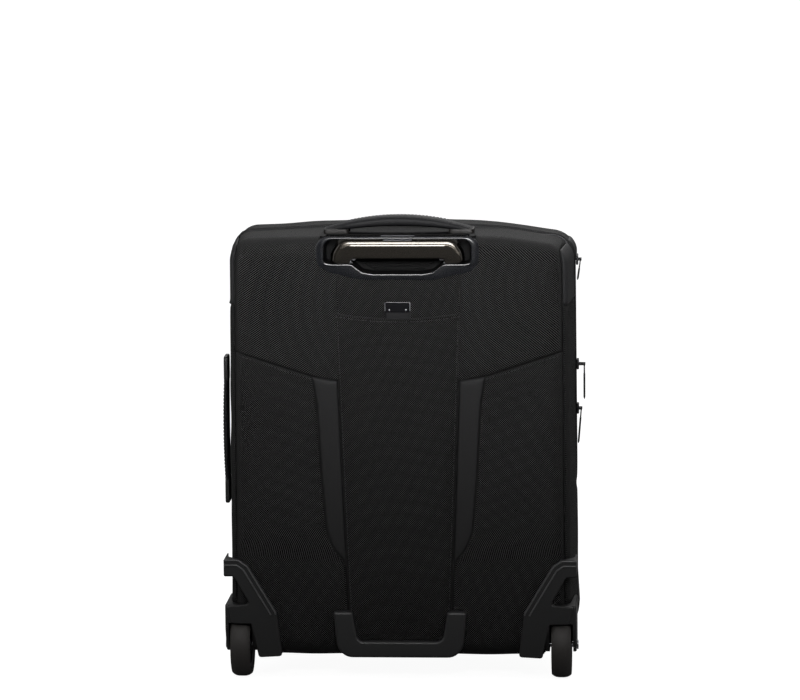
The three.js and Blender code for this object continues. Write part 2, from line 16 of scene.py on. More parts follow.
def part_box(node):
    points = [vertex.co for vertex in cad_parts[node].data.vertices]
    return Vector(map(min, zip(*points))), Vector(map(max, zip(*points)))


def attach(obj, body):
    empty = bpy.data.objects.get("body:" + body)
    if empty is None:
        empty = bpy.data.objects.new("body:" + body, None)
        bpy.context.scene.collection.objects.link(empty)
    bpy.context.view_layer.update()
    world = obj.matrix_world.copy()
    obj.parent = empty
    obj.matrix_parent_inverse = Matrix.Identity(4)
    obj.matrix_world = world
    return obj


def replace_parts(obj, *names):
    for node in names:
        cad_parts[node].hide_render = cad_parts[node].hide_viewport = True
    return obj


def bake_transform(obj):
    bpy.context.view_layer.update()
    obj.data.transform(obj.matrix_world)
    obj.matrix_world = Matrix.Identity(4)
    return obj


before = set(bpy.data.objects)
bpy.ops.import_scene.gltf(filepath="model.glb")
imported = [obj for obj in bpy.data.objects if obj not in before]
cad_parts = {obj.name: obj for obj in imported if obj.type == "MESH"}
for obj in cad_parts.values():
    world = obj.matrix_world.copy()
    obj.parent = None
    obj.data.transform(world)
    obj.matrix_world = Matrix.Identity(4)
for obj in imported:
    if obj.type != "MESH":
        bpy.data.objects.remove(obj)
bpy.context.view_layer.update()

MM = 0.001
SIDES = (("right", 1), ("left", -1))
TINY = 1e-9  # keeps a division by a length away from zero


def box(node):
    """Lowest and highest corners of a CAD node."""
    low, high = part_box(node)
    return np.array(low) / MM, np.array(high) / MM


# ---- Sizes from the frame ----

TUB_LOW, TUB_HIGH = box("tub_shell")
LID_LOW, LID_HIGH = box("lid_shell")
BACK = TUB_LOW[1]
TUB_RIM = TUB_HIGH[1]
TOP = TUB_HIGH[2]
BOTTOM = TUB_LOW[2]
HALF_BOTTOM = TUB_HIGH[0]
HALF_TOP = HALF_BOTTOM - 2.5
CROWN = 3.0
TOP_CORNER = 26.0
BOTTOM_CORNER = 38.0
SHOULDER = 22.0
SIDE_DRAW = 5.5  # how far the tub's sides draw in at the back
LID_EDGE = 14.0
WELL_HALF = [165.3, 201.8]
WELL_FRONT = -18.6
WELL_TOP = 88.5
HOLD = 9.0  # how far from a seam the stuffing is held down
GROOVE = 1.5  # how far from a seam its groove reaches

# ---- The case as a surface ----
# A station runs round the upright outline of the case, from the middle of the bottom by the right side.
# A reach runs over the back's shoulder, from the edge of the flat back (0) to the rim of the tub.

LOW_TURN = BOTTOM_CORNER * math.pi / 2
HIGH_TURN = TOP_CORNER * math.pi / 2
CORE_X = [0, HALF_BOTTOM - BOTTOM_CORNER, HALF_TOP - TOP_CORNER]
CORE_Z = [BOTTOM + BOTTOM_CORNER, TOP - CROWN - TOP_CORNER]
SIDE = CORE_Z[1] - CORE_Z[0]
RIGHT_HALF = [CORE_X[1], LOW_TURN, SIDE, HIGH_TURN, 2 * CORE_X[2]]
STATIONS = np.cumsum([0] + RIGHT_HALF + [HIGH_TURN, SIDE, LOW_TURN, CORE_X[1]])
LOOP = STATIONS[-1]
ARC = SHOULDER * math.pi / 2
REACH_RIM = ARC + TUB_RIM - BACK - SHOULDER


def right_station(z):
    """Station of a height on the right side."""
    return STATIONS[2] + np.asarray(z, float) - CORE_Z[0]


def rim(station, inset):
    """The (x, z) point of the outline at a station, drawn in by an inset."""
    s = np.mod(station, LOOP)
    xb, xt = CORE_X[1], CORE_X[2]
    zb, zt = CORE_Z
    x = np.interp(s, STATIONS, [0, xb, xb, xt, xt, -xt, -xt, -xb, -xb, 0])
    z = np.interp(s, STATIONS, [zb, zb, zb, zt, zt, zt, zt, zb, zb, zb])
    angle = np.radians(np.interp(s, STATIONS, [-90, -90, 0, 0, 90, 90, 180, 180, 270, 270]))
    on_top = (s > STATIONS[4]) & (s < STATIONS[5])
    z = z + np.where(on_top, CROWN * (1 - (x / xt) ** 2), 0)
    high, low = TOP_CORNER, BOTTOM_CORNER
    radius = np.interp(s, STATIONS, [low, low, low, high, high, high, high, low, low, low]) - inset
    return x + radius * np.cos(angle), z + radius * np.sin(angle)


def shoulder(reach):
    """Inset and y at a reach over the back's shoulder."""
    turn = np.clip(np.asarray(reach, float) / SHOULDER, 0, math.pi / 2)
    inset = SHOULDER * (1 - np.sin(turn)) - np.minimum(reach, 0)
    y = BACK + SHOULDER * (1 - np.cos(turn)) + np.maximum(np.asarray(reach) - ARC, 0)
    return inset, y


def reach_of(inset):
    return SHOULDER * np.arcsin(np.clip(1 - np.asarray(inset, float) / SHOULDER, 0, 1))


def points(x, y, z):
    return np.stack(np.broadcast_arrays(x, y, z), -1).astype(float)


def drawn_in(grid):
    """Cloth of the tub, whose sides draw in towards the back."""
    x, y = grid[..., 0], grid[..., 1]
    back = np.clip((TUB_RIM - y) / 75, 0, 1)
    side = np.clip((np.abs(x) - 120) / 75, 0, 1)
    moved = grid.copy()
    moved[..., 0] = x - np.sign(x) * SIDE_DRAW * back * side
    return moved


def wrapped(stations, reaches):
    """A grid on the tub: a row for each station, a column for each reach."""
    inset, y = shoulder(reaches)
    x, z = rim(stations, inset)
    return points(x, y, z)


def half_width(z, inset=0.0):
    """Half the width of the case at a height, inside an inset outline."""
    straight = HALF_BOTTOM + (HALF_TOP - HALF_BOTTOM) * (z - BOTTOM) / (TOP - BOTTOM) - inset
    radius = np.where(z > 0.5 * (TOP + BOTTOM), TOP_CORNER, BOTTOM_CORNER) - inset
    beyond = np.clip(np.maximum(CORE_Z[0] - z, z - CORE_Z[1]), 0, radius)
    return straight - radius + np.sqrt(radius**2 - beyond**2)


def edge_distance(x, z):
    """How far a point of the back lies inside the case's outline."""
    side = half_width(np.clip(z, CORE_Z[0], CORE_Z[1])) - np.abs(x)
    top = TOP - CROWN * np.minimum((x / CORE_X[2]) ** 2, 1) - z
    end = np.minimum(top, z - BOTTOM)
    radius = np.where(top < z - BOTTOM, TOP_CORNER, BOTTOM_CORNER)
    in_corner = (side < radius) & (end < radius)
    corner = radius - np.hypot(radius - side, radius - end)
    return np.where(in_corner, corner, np.minimum(side, end))


def back_y(x, z):
    """The y of the tub's back surface."""
    near = SHOULDER - np.clip(edge_distance(x, z), 0, SHOULDER)
    return BACK + SHOULDER - np.sqrt(SHOULDER**2 - near**2)


def top_z(x):
    """Height of the case's top at x."""
    over = np.clip(np.abs(x) - CORE_X[2], 0, TOP_CORNER)
    crown = CROWN * (1 - np.minimum((x / CORE_X[2]) ** 2, 1))
    return CORE_Z[1] + np.sqrt(TOP_CORNER**2 - over**2) + crown


# ---- Seams of the back ----

SEAM_INSET = 5.5
SEAM_END_X = 190.0
STRIP_EDGE_Z = [136, 152.5, 163.5, 175, 233, 320, 353]
STRIP_EDGE_X = [61, 75, 80, 83.6, 88.6, 93.7, 99]
CUFF_Z = 435.4  # lower end of the smooth corner trims


def centre_half(z):
    """Half the width of the centre panel: it narrows towards the wheels."""
    return 56 + 0.041 * z - 0.0000075 * z * z


def corner_seam(share):
    """Stations and insets of the seam round the top corner, which runs out to the case's outline."""
    turn = math.acos((SEAM_END_X - CORE_X[2]) / TOP_CORNER)
    return STATIONS[3] + share * turn * TOP_CORNER, SEAM_INSET * (1 - share**3)


def seam_x(z):
    """Half the distance between the two side seams."""
    corner_x, corner_z = rim(*corner_seam(np.linspace(0, 1, 30)))
    upper = np.interp(z, corner_z, corner_x)
    return np.where(z < CORE_Z[1], half_width(np.asarray(z, float), SEAM_INSET), upper)


def diagonal_z(x):
    """Height of the sewn diagonal seams."""
    return np.interp(np.abs(x), [0, 71, 99, 190], [347.5, 347.5, 353, 381])


def cross_seam_z(x):
    return 419.5 + 6.5 * (x / centre_half(423)) ** 2


# ---- Mesh builders ----


SAG = 7.5  # how far the top right corner has sunk
LID_CROWN = 3.6  # how far the middle of the lid's top stands up
SOFT = ("body_fabric", "trim_pu", "zip_coil", "lining")


def eased(value, start, end):
    """A smooth step from 0 at start to 1 at end."""
    share = np.clip((value - start) / (end - start), 0, 1)
    return share * share * (3 - 2 * share)


def settled(verts):
    """The soft shell as it stands: its top right corner sags, and the lid's top is crowned."""
    x, y, z = verts[:, 0], verts[:, 1], verts[:, 2]
    sag = SAG * eased(x, 105, 200) * eased(z, 410, 525)
    crown = LID_CROWN * eased(175 - np.abs(x), 0, 150) * eased(y, -20, 40) * eased(z, 440, 505)
    return np.stack([x, y, z - sag + crown], 1)


def piece(name, verts, faces, body, finish, slot=None, uv=None):
    """A mesh piece that rides on a body. When body is a tuple (a, b, start, end), the piece rides on no body
    and the tuple's values are not used.
    """
    mesh = bpy.data.meshes.new(name)
    verts = np.asarray(verts, float)
    slot = slot or SLOT_OF[finish.name]
    if slot in SOFT:
        verts = settled(verts)
    mesh.from_pydata((verts * MM).tolist(), [], [list(map(int, f)) for f in faces])
    mesh.materials.append(finish)
    mesh.polygons.foreach_set("use_smooth", [True] * len(mesh.polygons))
    if uv is not None:
        layer = mesh.uv_layers.new(name="cloth")
        corners = np.zeros(len(mesh.loops), int)
        mesh.loops.foreach_get("vertex_index", corners)
        layer.data.foreach_set("uv", np.asarray(uv, float)[corners].ravel())
    mesh.update()
    obj = linked(name, mesh)
    if isinstance(body, tuple):
        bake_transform(obj)
    else:
        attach(obj, body)
    return obj


def linked(name, data):
    """A new object in the scene."""
    obj = bpy.data.objects.new(name, data)
    bpy.context.scene.collection.objects.link(obj)
    return obj


def unit(arrows):
    """Arrows of length 1 in the same directions."""
    return arrows / np.maximum(np.linalg.norm(arrows, axis=-1, keepdims=True), TINY)


def placed(at, matrix):
    """Points moved by a matrix."""
    return at @ np.array(matrix.to_3x3()).T + np.array(matrix.translation)


def quads_between(index):
    """Faces between neighbouring rows and columns of a grid of vertex numbers."""
    return np.stack([index[:-1, :-1], index[:-1, 1:], index[1:, 1:], index[1:, :-1]], -1).reshape(-1, 4)


def quads_along(index):
    """The same faces with their corners the other way round, as a list."""
    corners = [index[:-1, :-1], index[1:, :-1], index[1:, 1:], index[:-1, 1:]]
    return np.stack(corners, -1).reshape(-1, 4).tolist()


def thicken(obj, thickness):
    """Gives a sheet its thickness, in millimetres, on its inner side."""
    solidify = obj.modifiers.new("thickness", "SOLIDIFY")
    solidify.thickness = thickness * MM
    solidify.offset = -1


def lengths(grid, axis):
    """Distance travelled along a grid's rows or columns, in millimetres."""
    steps = np.linalg.norm(np.diff(grid, axis=axis), axis=-1)
    start = np.zeros_like(np.take(steps, [0], axis=axis))
    return np.concatenate([start, np.cumsum(steps, axis=axis)], axis=axis)


def grid_normals(grid, outward):
    across = np.gradient(grid, axis=1)
    along = np.gradient(grid, axis=0)
    normal = unit(np.cross(across, along))
    facing = np.sum(normal * (grid - np.array(outward)))
    return normal * (1 if facing >= 0 else -1)


def ripple(at, seed, scale):
    """A smooth, seeded unevenness between about -1 and 1."""
    rng = np.random.default_rng(seed)
    total = np.zeros(at.shape[:-1])
    waves = 6
    for _ in range(waves):
        direction = rng.normal(size=3)
        direction /= np.linalg.norm(direction)
        wavelength = scale * rng.uniform(0.5, 1.7)
        total += np.sin(at @ direction * 2 * math.pi / wavelength + rng.uniform(0, 2 * math.pi))
    return total / waves * 1.8


CASE_MIDDLE = (0, -20, 270)


def upholstered(grid, puff=0.8, tuck=1.0, seams="lrbt", seed=1, uneven=0.5, scale=90, outward=CASE_MIDDLE):
    """The grid puffed out in the middle and pulled in at its seams (left, right, bottom and top edges)."""
    along, across = lengths(grid, 0), lengths(grid, 1)
    far = 1e3
    edges = {
        "b": along,
        "t": along[-1:] - along,
        "l": across,
        "r": across[:, -1:] - across,
    }
    near = np.full(grid.shape[:2], far)
    for seam in seams:
        near = np.minimum(near, edges[seam])
    body = 1 - np.exp(-near / HOLD)
    groove = np.exp(-((near / GROOVE) ** 2))
    rise = body * (puff + uneven * ripple(grid, seed, scale)) - tuck * groove
    return grid + grid_normals(grid, outward) * rise[..., None]


def sheet(name, grid, body, finish, thickness=1.4, drop=None, outward=CASE_MIDDLE, closed=False):
    """A cloth sheet from a grid, thickened inwards. Faces for which drop(centre) holds are left out."""
    rows, cols = grid.shape[:2]
    uv = np.stack([lengths(grid, 1), lengths(grid, 0)], -1).reshape(-1, 2)
    index = np.arange(rows * cols).reshape(rows, cols)
    if closed:
        index = np.concatenate([index, index[:1]], axis=0)
    quads = quads_between(index)
    flat = grid.reshape(-1, 3)
    across, along = flat[quads[:, 1]] - flat[quads[:, 0]], flat[quads[:, 3]] - flat[quads[:, 0]]
    centres = flat[quads].mean(1)
    if np.sum(np.cross(across, along) * (centres - np.array(outward))) < 0:
        quads = quads[:, ::-1]
    if drop is not None:
        quads = quads[~drop(centres)]
    used = np.unique(quads)
    remap = np.full(len(flat), -1)
    remap[used] = np.arange(len(used))
    obj = piece(name, flat[used], remap[quads], body, finish, uv=uv[used])
    if thickness:
        thicken(obj, thickness)
    return obj


def mirrored(grid):
    return grid * np.array([-1, 1, 1])


def both_sides(name, grid, *rest, **options):
    return [
        sheet(name + "_right", grid, *rest, **options),
        sheet(name + "_left", mirrored(grid), *rest, **options),
    ]


def rounded(corners, steps=6):
    """A closed outline through corners (a, b, radius), each rounded to its radius, as an array of points."""
    corners = [tuple(c) + (0,) * (3 - len(c)) for c in corners]
    made = []
    for i, (a, b, radius) in enumerate(corners):
        here = Vector((a, b))
        before = (Vector(corners[i - 1][:2]) - here).normalized()
        after = (Vector(corners[(i + 1) % len(corners)][:2]) - here).normalized()
        if not radius:
            made.append(here)
            continue
        half = before.angle(after) / 2
        centre = here + (before + after).normalized() * radius / math.sin(half)
        spoke = here + before * radius / math.tan(half) - centre
        cross = before.x * after.y - before.y * after.x
        sweep = -math.copysign(math.pi - 2 * half, cross)
        for k in range(steps + 1):
            made.append(centre + Matrix.Rotation(sweep * k / steps, 2) @ spoke)
    return np.array([[p.x, p.y] for p in made])


def both_halves(right_half):
    """A symmetric outline from the corners of its right half, listed from the top down."""
    return list(right_half) + [(-c[0],) + tuple(c[1:]) for c in reversed(right_half)]


def upright(low, high, radius):
    """The corners of a box seen from behind, with a radius."""
    corners = ((high, high), (high, low), (low, low), (low, high))
    return [(across[0], tall[2], radius) for across, tall in corners]


def area(loop):
    x, y = loop[:, 0], loop[:, 1]
    return 0.5 * np.sum(x * np.roll(y, -1) - y * np.roll(x, -1))


def grown(loop, amount):
    """An outline moved out by an amount along its own normals."""
    ahead = unit(np.roll(loop, -1, 0) - loop)
    behind = np.roll(ahead, 1, 0)
    n1 = np.stack([behind[:, 1], -behind[:, 0]], 1)
    n2 = np.stack([ahead[:, 1], -ahead[:, 0]], 1)
    mitre = (n1 + n2) / np.maximum(1 + np.sum(n1 * n2, 1, keepdims=True), 0.3)
    return loop + mitre * amount * math.copysign(1, area(loop))


PLANES = {
    "xz": lambda a, b, c: points(a, c, b),
    "yz": lambda a, b, c: points(c, a, b),
    "xy": lambda a, b, c: points(a, b, c),
}


def stacked(name, rings, body, finish, plane="xz", caps=(True, True), transform=None):
    """A solid through a stack of rings (outline, height), each with the same number of points."""
    loops = [PLANES[plane](loop[:, 0], loop[:, 1], height) for loop, height in rings]
    verts = np.concatenate(loops)
    n = len(loops[0])
    faces = []
    for level in range(len(loops) - 1):
        low, high = level * n, (level + 1) * n
        for k in range(n):
            after = (k + 1) % n
            faces.append([low + k, low + after, high + after, high + k])
    for level, wanted in ((0, caps[0]), (len(loops) - 1, caps[1])):
        if wanted:
            flat = [Vector((a, b, 0)) for a, b in rings[level][0]]
            start = level * n
            triangles = [[start + i for i in t] for t in tessellate_polygon([flat])]
            faces += triangles
    if transform is not None:
        verts = placed(verts, transform)
    obj = piece(name, verts, faces, body, finish)
    face_outwards(obj)
    return crisp(obj)


def face_outwards(obj):
    mesh = bmesh.new()
    mesh.from_mesh(obj.data)
    bmesh.ops.recalc_face_normals(mesh, faces=mesh.faces)
    mesh.to_mesh(obj.data)
    mesh.free()
    return obj


def crisp(obj, degrees=40):
    """Smooth rounds and flat faces: normals follow the larger faces, and sharp edges stay sharp."""
    obj.data.set_sharp_from_angle(angle=math.radians(degrees))
    return normals_by_area(obj)


def normals_by_area(obj):
    weighted = obj.modifiers.new("normals", "WEIGHTED_NORMAL")
    weighted.keep_sharp = True
    return obj


def round_over(loop, start, end, edge, steps=4):
    """The rings of a slab from start to end with both edges rounded."""
    sign = math.copysign(1, end - start)
    turns = [math.pi / 2 * k / steps for k in range(steps + 1)]
    near = sign * edge
    first = [(grown(loop, -edge * (1 - math.sin(t))), start + near * (1 - math.cos(t))) for t in turns]
    last = [(grown(loop, -edge * (1 - math.cos(t))), end - near * (1 - math.sin(t))) for t in turns]
    return first + last


def slab(name, corners, span, edge, body, finish, plane="xz", steps=6, transform=None):
    loop = rounded(corners, steps)
    return stacked(name, round_over(loop, *span, edge), body, finish, plane, transform=transform)


def tube(name, path, radius, body, finish, closed=False, sides=8, up=(0, 0, 1)):
    """A round bead along a path of points, which doesn't run along the up direction."""
    path = np.asarray(path, float)
    if closed:
        ahead = np.roll(path, -1, 0) - np.roll(path, 1, 0)
    else:
        ahead = np.gradient(path, axis=0)
    ahead = unit(ahead)
    side = unit(np.cross(ahead, np.array(up, float)))
    top = np.cross(side, ahead)
    angles = np.arange(sides) * 2 * math.pi / sides
    grid = (
        path[:, None]
        + radius * np.cos(angles)[None, :, None] * side[:, None]
        + radius * np.sin(angles)[None, :, None] * top[:, None]
    )
    n = len(path)
    index = np.arange(n * sides).reshape(n, sides)
    index = np.concatenate([index, index[:, :1]], 1)
    faces = []
    if closed:
        index = np.concatenate([index, index[:1]], 0)
    else:
        faces += [index[0, :-1][::-1].tolist(), index[-1, :-1].tolist()]
    faces += quads_along(index)
    obj = piece(name, grid.reshape(-1, 3), faces, body, finish)
    return face_outwards(obj)


def piping(name, path, radius, body, closed=False, sides=8, up=(0, 1, 0)):
    """A coated bead sewn along a seam."""
    return tube(name, path, radius, body, PIPING, closed, sides, up)


def resampled(path, pitch):
    """Points at an even pitch along a path."""
    path = np.asarray(path, float)
    run = np.concatenate([[0], np.cumsum(np.linalg.norm(np.diff(path, axis=0), axis=1))])
    count = max(2, int(round(run[-1] / pitch)) + 1)
    at = np.linspace(0, run[-1], count)
    return np.stack([np.interp(at, run, path[:, k]) for k in range(3)], 1)


# A stitch or a zip tooth, as a lens of three rings: (share of the length, share of the radius).
LENS = [(-0.5, 0.45), (-0.3, 1.0), (0.3, 1.0), (0.5, 0.45)]


def beads(name, places, directions, lifts, length, width, height, body, finish, slot=None):
    """Many small lens-shaped bars, as one piece: stitches, zip teeth or rivets."""
    sides = 6
    angles = (np.arange(sides) + 0.5) * 2 * math.pi / sides
    verts, faces = [], []
    for place, direction, lift in zip(places, directions, lifts):
        direction = direction / np.linalg.norm(direction)
        across = np.cross(direction, lift)
        across /= np.linalg.norm(across)
        lift = np.cross(across, direction)
        start = len(verts)
        for share, swell in LENS:
            for angle in angles:
                offset = across * math.cos(angle) * width / 2 + lift * math.sin(angle) * height / 2
                verts.append(place + direction * length * share + offset * swell)
        for ring in range(len(LENS) - 1):
            for k in range(sides):
                a, b = start + ring * sides + k, start + ring * sides + (k + 1) % sides
                faces.append([a, b, b + sides, a + sides])
        last = start + (len(LENS) - 1) * sides
        faces.append([start + k for k in reversed(range(sides))])
        faces.append([last + k for k in range(sides)])
    return face_outwards(piece(name, np.array(verts), faces, body, finish, slot))


def stitches(name, path, lift, body, slot="body_fabric", pitch=4.2, length=3.0):
    """A row of thread stitches along a path, proud of the cloth in the lift direction."""
    at = resampled(path, pitch)
    ahead = np.gradient(at, axis=0)
    lifts = np.broadcast_to(np.array(lift, float), at.shape)
    return beads(name, at + 0.25 * lifts, ahead, lifts, length, 0.75, 0.6, body, THREAD, slot)


# ---- Materials ----


class Finish:
    """A principled material built from nodes. Coordinates are in millimetres."""

    def __init__(self, name, cloth=False):
        self.material = bpy.data.materials.new(name)
        self.material.use_nodes = True
        self.tree = self.material.node_tree
        self.shader = self.tree.nodes["Principled BSDF"]
        if cloth:
            source = self.node("ShaderNodeUVMap", uv_map="cloth").outputs[0]
            self.place = source
        else:
            source = self.node("ShaderNodeTexCoord").outputs["Object"]
            self.place = self.vector("SCALE", source, scale=1000)

    def node(self, kind, **settings):
        made = self.tree.nodes.new(kind)
        for key, value in settings.items():
            setattr(made, key, value)
        return made

    def link(self, value, socket):
        if isinstance(value, bpy.types.NodeSocket):
            self.tree.links.new(value, socket)
        else:
            socket.default_value = value

    def vector(self, operation, a, b=(0, 0, 0), scale=1.0):
        made = self.node("ShaderNodeVectorMath", operation=operation)
        self.link(a, made.inputs[0])
        self.link(b, made.inputs[1])
        self.link(scale, made.inputs[3])
        return made.outputs[0]

    def math(self, operation, a, b=0.0, c=0.0):
        made = self.node("ShaderNodeMath", operation=operation)
        for value, socket in zip((a, b, c), made.inputs):
            self.link(value, socket)
        return made.outputs[0]

    def noise(self, scale, detail=2.0, rough=0.5, at=None):
        made = self.node("ShaderNodeTexNoise")
        self.link(at if at is not None else self.place, made.inputs["Vector"])
        self.link(scale, made.inputs[3])
        self.link(detail, made.inputs["Detail"])
        self.link(rough, made.inputs["Roughness"])
        return made.outputs[0]

    def cells(self, scale, feature="F1"):
        made = self.node("ShaderNodeTexVoronoi", feature=feature)
        self.link(self.place, made.inputs["Vector"])
        self.link(scale, made.inputs[3])
        return made.outputs["Distance"]

    def fit(self, value, low, high, to_low, to_high):
        made = self.node("ShaderNodeMapRange")
        for number, socket in zip((value, low, high, to_low, to_high), made.inputs):
            self.link(number, socket)
        return made.outputs[0]

    def mix(self, share, a, b):
        made = self.node("ShaderNodeMix", data_type="RGBA")
        self.link(share, made.inputs[0])
        for color, socket in ((a, made.inputs[6]), (b, made.inputs[7])):
            self.link(color if isinstance(color, bpy.types.NodeSocket) else (*color, 1.0), socket)
        return made.outputs[2]

    def bump(self, height, depth, strength=1.0, below=None):
        """Adds relief of a depth in millimetres."""
        made = self.node("ShaderNodeBump")
        self.link(height, made.inputs["Height"])
        self.link(depth * MM, made.inputs["Distance"])
        self.link(strength, made.inputs["Strength"])
        if below is not None:
            self.link(below, made.inputs["Normal"])
        self.link(made.outputs[0], self.shader.inputs["Normal"])
        return made.outputs[0]

    def set(self, **values):
        names = {
            "color": "Base Color",
            "roughness": "Roughness",
            "metallic": "Metallic",
            "sheen": "Sheen Weight",
            "sheen_roughness": "Sheen Roughness",
            "coat": "Coat Weight",
            "coat_roughness": "Coat Roughness",
            "specular": "Specular IOR Level",
        }
        for key, value in values.items():
            if key == "color" and not isinstance(value, bpy.types.NodeSocket):
                value = (*value, 1.0)
            self.link(value, self.shader.inputs[names[key]])
        return self.material


def woven(name, dark, light, pitch=2.5, relief=0.4, roughness=0.55, sheen=0.1):
    """Heavy nylon: a diamond of thread floats, which merge where the cloth is seen at a slant."""
    f = Finish(name, cloth=True)
    split = f.node("ShaderNodeSeparateXYZ")
    f.link(f.place, split.inputs[0])
    wobble = f.noise(0.12, 1)
    across = f.math("MULTIPLY_ADD", wobble, 0.5, split.outputs[0])
    along = f.math("MULTIPLY_ADD", wobble, 0.5, split.outputs[1])
    turns = 2 * math.pi / pitch
    warp = f.math("COSINE", f.math("MULTIPLY", across, turns))
    weft = f.math("COSINE", f.math("MULTIPLY", along, turns))
    floats = f.math("MULTIPLY_ADD", f.math("MULTIPLY", warp, weft), 0.5, 0.5)
    fibre = f.noise(1.1, 3, 0.7)
    tone = f.fit(f.noise(0.012, 3), 0.3, 0.7, 0.9, 1.1)
    raised = f.fit(floats, 0.62, 0.92, 0, 1)
    slant = f.fit(f.node("ShaderNodeLayerWeight").outputs["Facing"], 0.1, 0.4, 0, 1)
    merged = f.math("MULTIPLY_ADD", slant, f.math("SUBTRACT", 0.16, raised), raised)
    thread = f.math("MULTIPLY", merged, f.fit(fibre, 0.3, 0.7, 0.88, 1.06))
    color = f.mix(thread, dark, light)
    shade = f.vector("SCALE", color, scale=tone)
    under = f.bump(f.noise(0.035, 2), 0.8, 0.5)
    f.bump(thread, relief, 0.7, below=under)
    rough = f.fit(thread, 0, 1, roughness + 0.12, roughness - 0.08)
    shine = f.math("MULTIPLY", thread, 0.4)
    haze = f.math("MULTIPLY", thread, sheen)
    return f.set(color=shade, roughness=rough, sheen=haze, sheen_roughness=0.4, specular=shine)


def grained(name, color, roughness=0.48, cell=1.1, relief=0.18, cloth=False, shine=0.45):
    """Coated cloth with a fine leather-like grain."""
    f = Finish(name, cloth)
    grain = f.cells(cell, "DISTANCE_TO_EDGE")
    speck = f.noise(0.9, 3)
    tone = f.fit(f.noise(0.02, 2), 0.3, 0.7, 0.85, 1.15)
    light = tuple(c * 1.5 for c in color)
    base = f.mix(f.fit(speck, 0.35, 0.75, 0, 0.6), color, light)
    shade = f.vector("SCALE", base, scale=tone)
    under = f.bump(speck, 0.1, 0.4)
    f.bump(grain, relief, 0.6, below=under)
    rough = f.fit(grain, 0, 0.4, roughness + 0.15, roughness - 0.04)
    return f.set(color=shade, roughness=rough, specular=shine)


def moulded(name, color, roughness=0.42, relief=0.06, worn=1.8, cell=1.6, shine=0.5):
    """Injection-moulded plastic: fine spark-eroded texture, paler and smoother along rubbed edges."""
    f = Finish(name)
    spark = f.noise(cell, 4, 0.6)
    smear = f.noise(0.03, 3)
    rubbed = f.node("ShaderNodeNewGeometry").outputs["Pointiness"]
    edge = f.fit(rubbed, 0.52, 0.62, 0, 1)
    base = f.mix(f.fit(smear, 0.35, 0.7, 0, 0.5), color, tuple(c * 1.35 for c in color))
    tinted = f.mix(f.math("MULTIPLY", edge, 0.7), base, tuple(min(1, c * worn) for c in color))
    f.bump(spark, relief, 0.6)
    rough = f.fit(smear, 0.3, 0.7, roughness - 0.06, roughness + 0.08)
    return f.set(color=tinted, roughness=rough, specular=shine)


def polished(name, color, roughness, metallic=1.0, streak=(0.02, 0.9, 0.9), coat=0.0):
    """Metal or metallised plastic with fine drawn streaks."""
    f = Finish(name)
    stretched = f.vector("MULTIPLY", f.place, streak)
    lines = f.noise(1.5, 4, 0.6, at=stretched)
    smear = f.noise(0.05, 2)
    base = f.mix(f.fit(lines, 0.3, 0.7, 0, 0.5), color, tuple(min(1, c * 1.25) for c in color))
    rough = f.fit(smear, 0.3, 0.7, roughness - 0.04, roughness + 0.05)
    f.bump(lines, 0.012, 0.4)
    return f.set(color=base, roughness=rough, metallic=metallic, coat=coat, coat_roughness=0.1)


def ribbed(name, color, pitch, relief=0.3, roughness=0.7, axis=1):
    """Webbing or zip tape: ribs across the strip, in cloth coordinates."""
    f = Finish(name, cloth=True)
    split = f.node("ShaderNodeSeparateXYZ")
    f.link(f.place, split.inputs[0])
    turns = 2 * math.pi / pitch
    ribs = f.math("MULTIPLY_ADD", f.math("SINE", f.math("MULTIPLY", split.outputs[axis], turns)), 0.5, 0.5)
    fibre = f.noise(1.4, 3, 0.7)
    thread = f.math("MULTIPLY", ribs, f.fit(fibre, 0.3, 0.7, 0.5, 1.2))
    base = f.mix(thread, tuple(c * 0.6 for c in color), tuple(c * 1.5 for c in color))
    f.bump(thread, relief, 0.7)
    return f.set(color=base, roughness=roughness, sheen=0.2, specular=0.3)


def rubber(name, color):
    f = Finish(name)
    dust = f.fit(f.noise(0.08, 4, 0.6), 0.4, 0.75, 0, 0.7)
    base = f.mix(dust, color, tuple(c * 1.8 for c in color))
    f.bump(f.noise(1.2, 4, 0.6), 0.08, 0.5)
    return f.set(color=base, roughness=f.fit(dust, 0, 1, 0.55, 0.8), specular=0.4)


def paper(name, color):
    f = Finish(name)
    fibre = f.noise(0.5, 4, 0.7)
    base = f.mix(fibre, color, tuple(c * 0.9 for c in color))
    f.bump(fibre, 0.05, 0.4)
    return f.set(color=base, roughness=0.75)


FABRIC = woven("nylon_weave", (0.0004, 0.0004, 0.0004), (0.092, 0.092, 0.092))
CENTRE_FABRIC = woven("nylon_weave_centre", (0.0004, 0.0004, 0.0004), (0.080, 0.080, 0.079))
TRIM = grained("corner_trim", (0.013, 0.013, 0.014), roughness=0.5, cloth=True)
STRIP = grained("strip_trim", (0.0045, 0.0045, 0.0048), roughness=0.55, cloth=True, shine=0.3)
PIPING = grained("piping", (0.0042, 0.0042, 0.0046), roughness=0.55, shine=0.25)
HANDLE_SKIN = grained("handle_skin", (0.0050, 0.0050, 0.0058), roughness=0.5, cloth=True, shine=0.2)
LINING = woven("lining_weave", (0.035, 0.036, 0.042), (0.075, 0.077, 0.085), pitch=0.9, relief=0.12)
MOULDED = moulded("black_moulding", (0.0085, 0.0085, 0.0088))
# Near-black matt plastic of the handle's well; on the bezel's top ledge it is painted shade under the carry
# handle.
WELL_SKIN_AND_SHADE = moulded("well_matt_and_painted_shade", (0.0012, 0.0012, 0.0013), roughness=0.65, relief=0.05, shine=0.12)
BEZEL = moulded("bezel_satin", (0.0042, 0.0047, 0.0062), roughness=0.24, relief=0.015, shine=0.6)
GRIP = polished("grip_gunmetal", (0.036, 0.032, 0.027), 0.25, metallic=1.0, coat=0.5)
BUTTON = moulded("button_satin", (0.09, 0.09, 0.10), roughness=0.3, relief=0.02)
COLLAR = moulded("tube_collar", (0.05, 0.05, 0.053), roughness=0.4, relief=0.02)
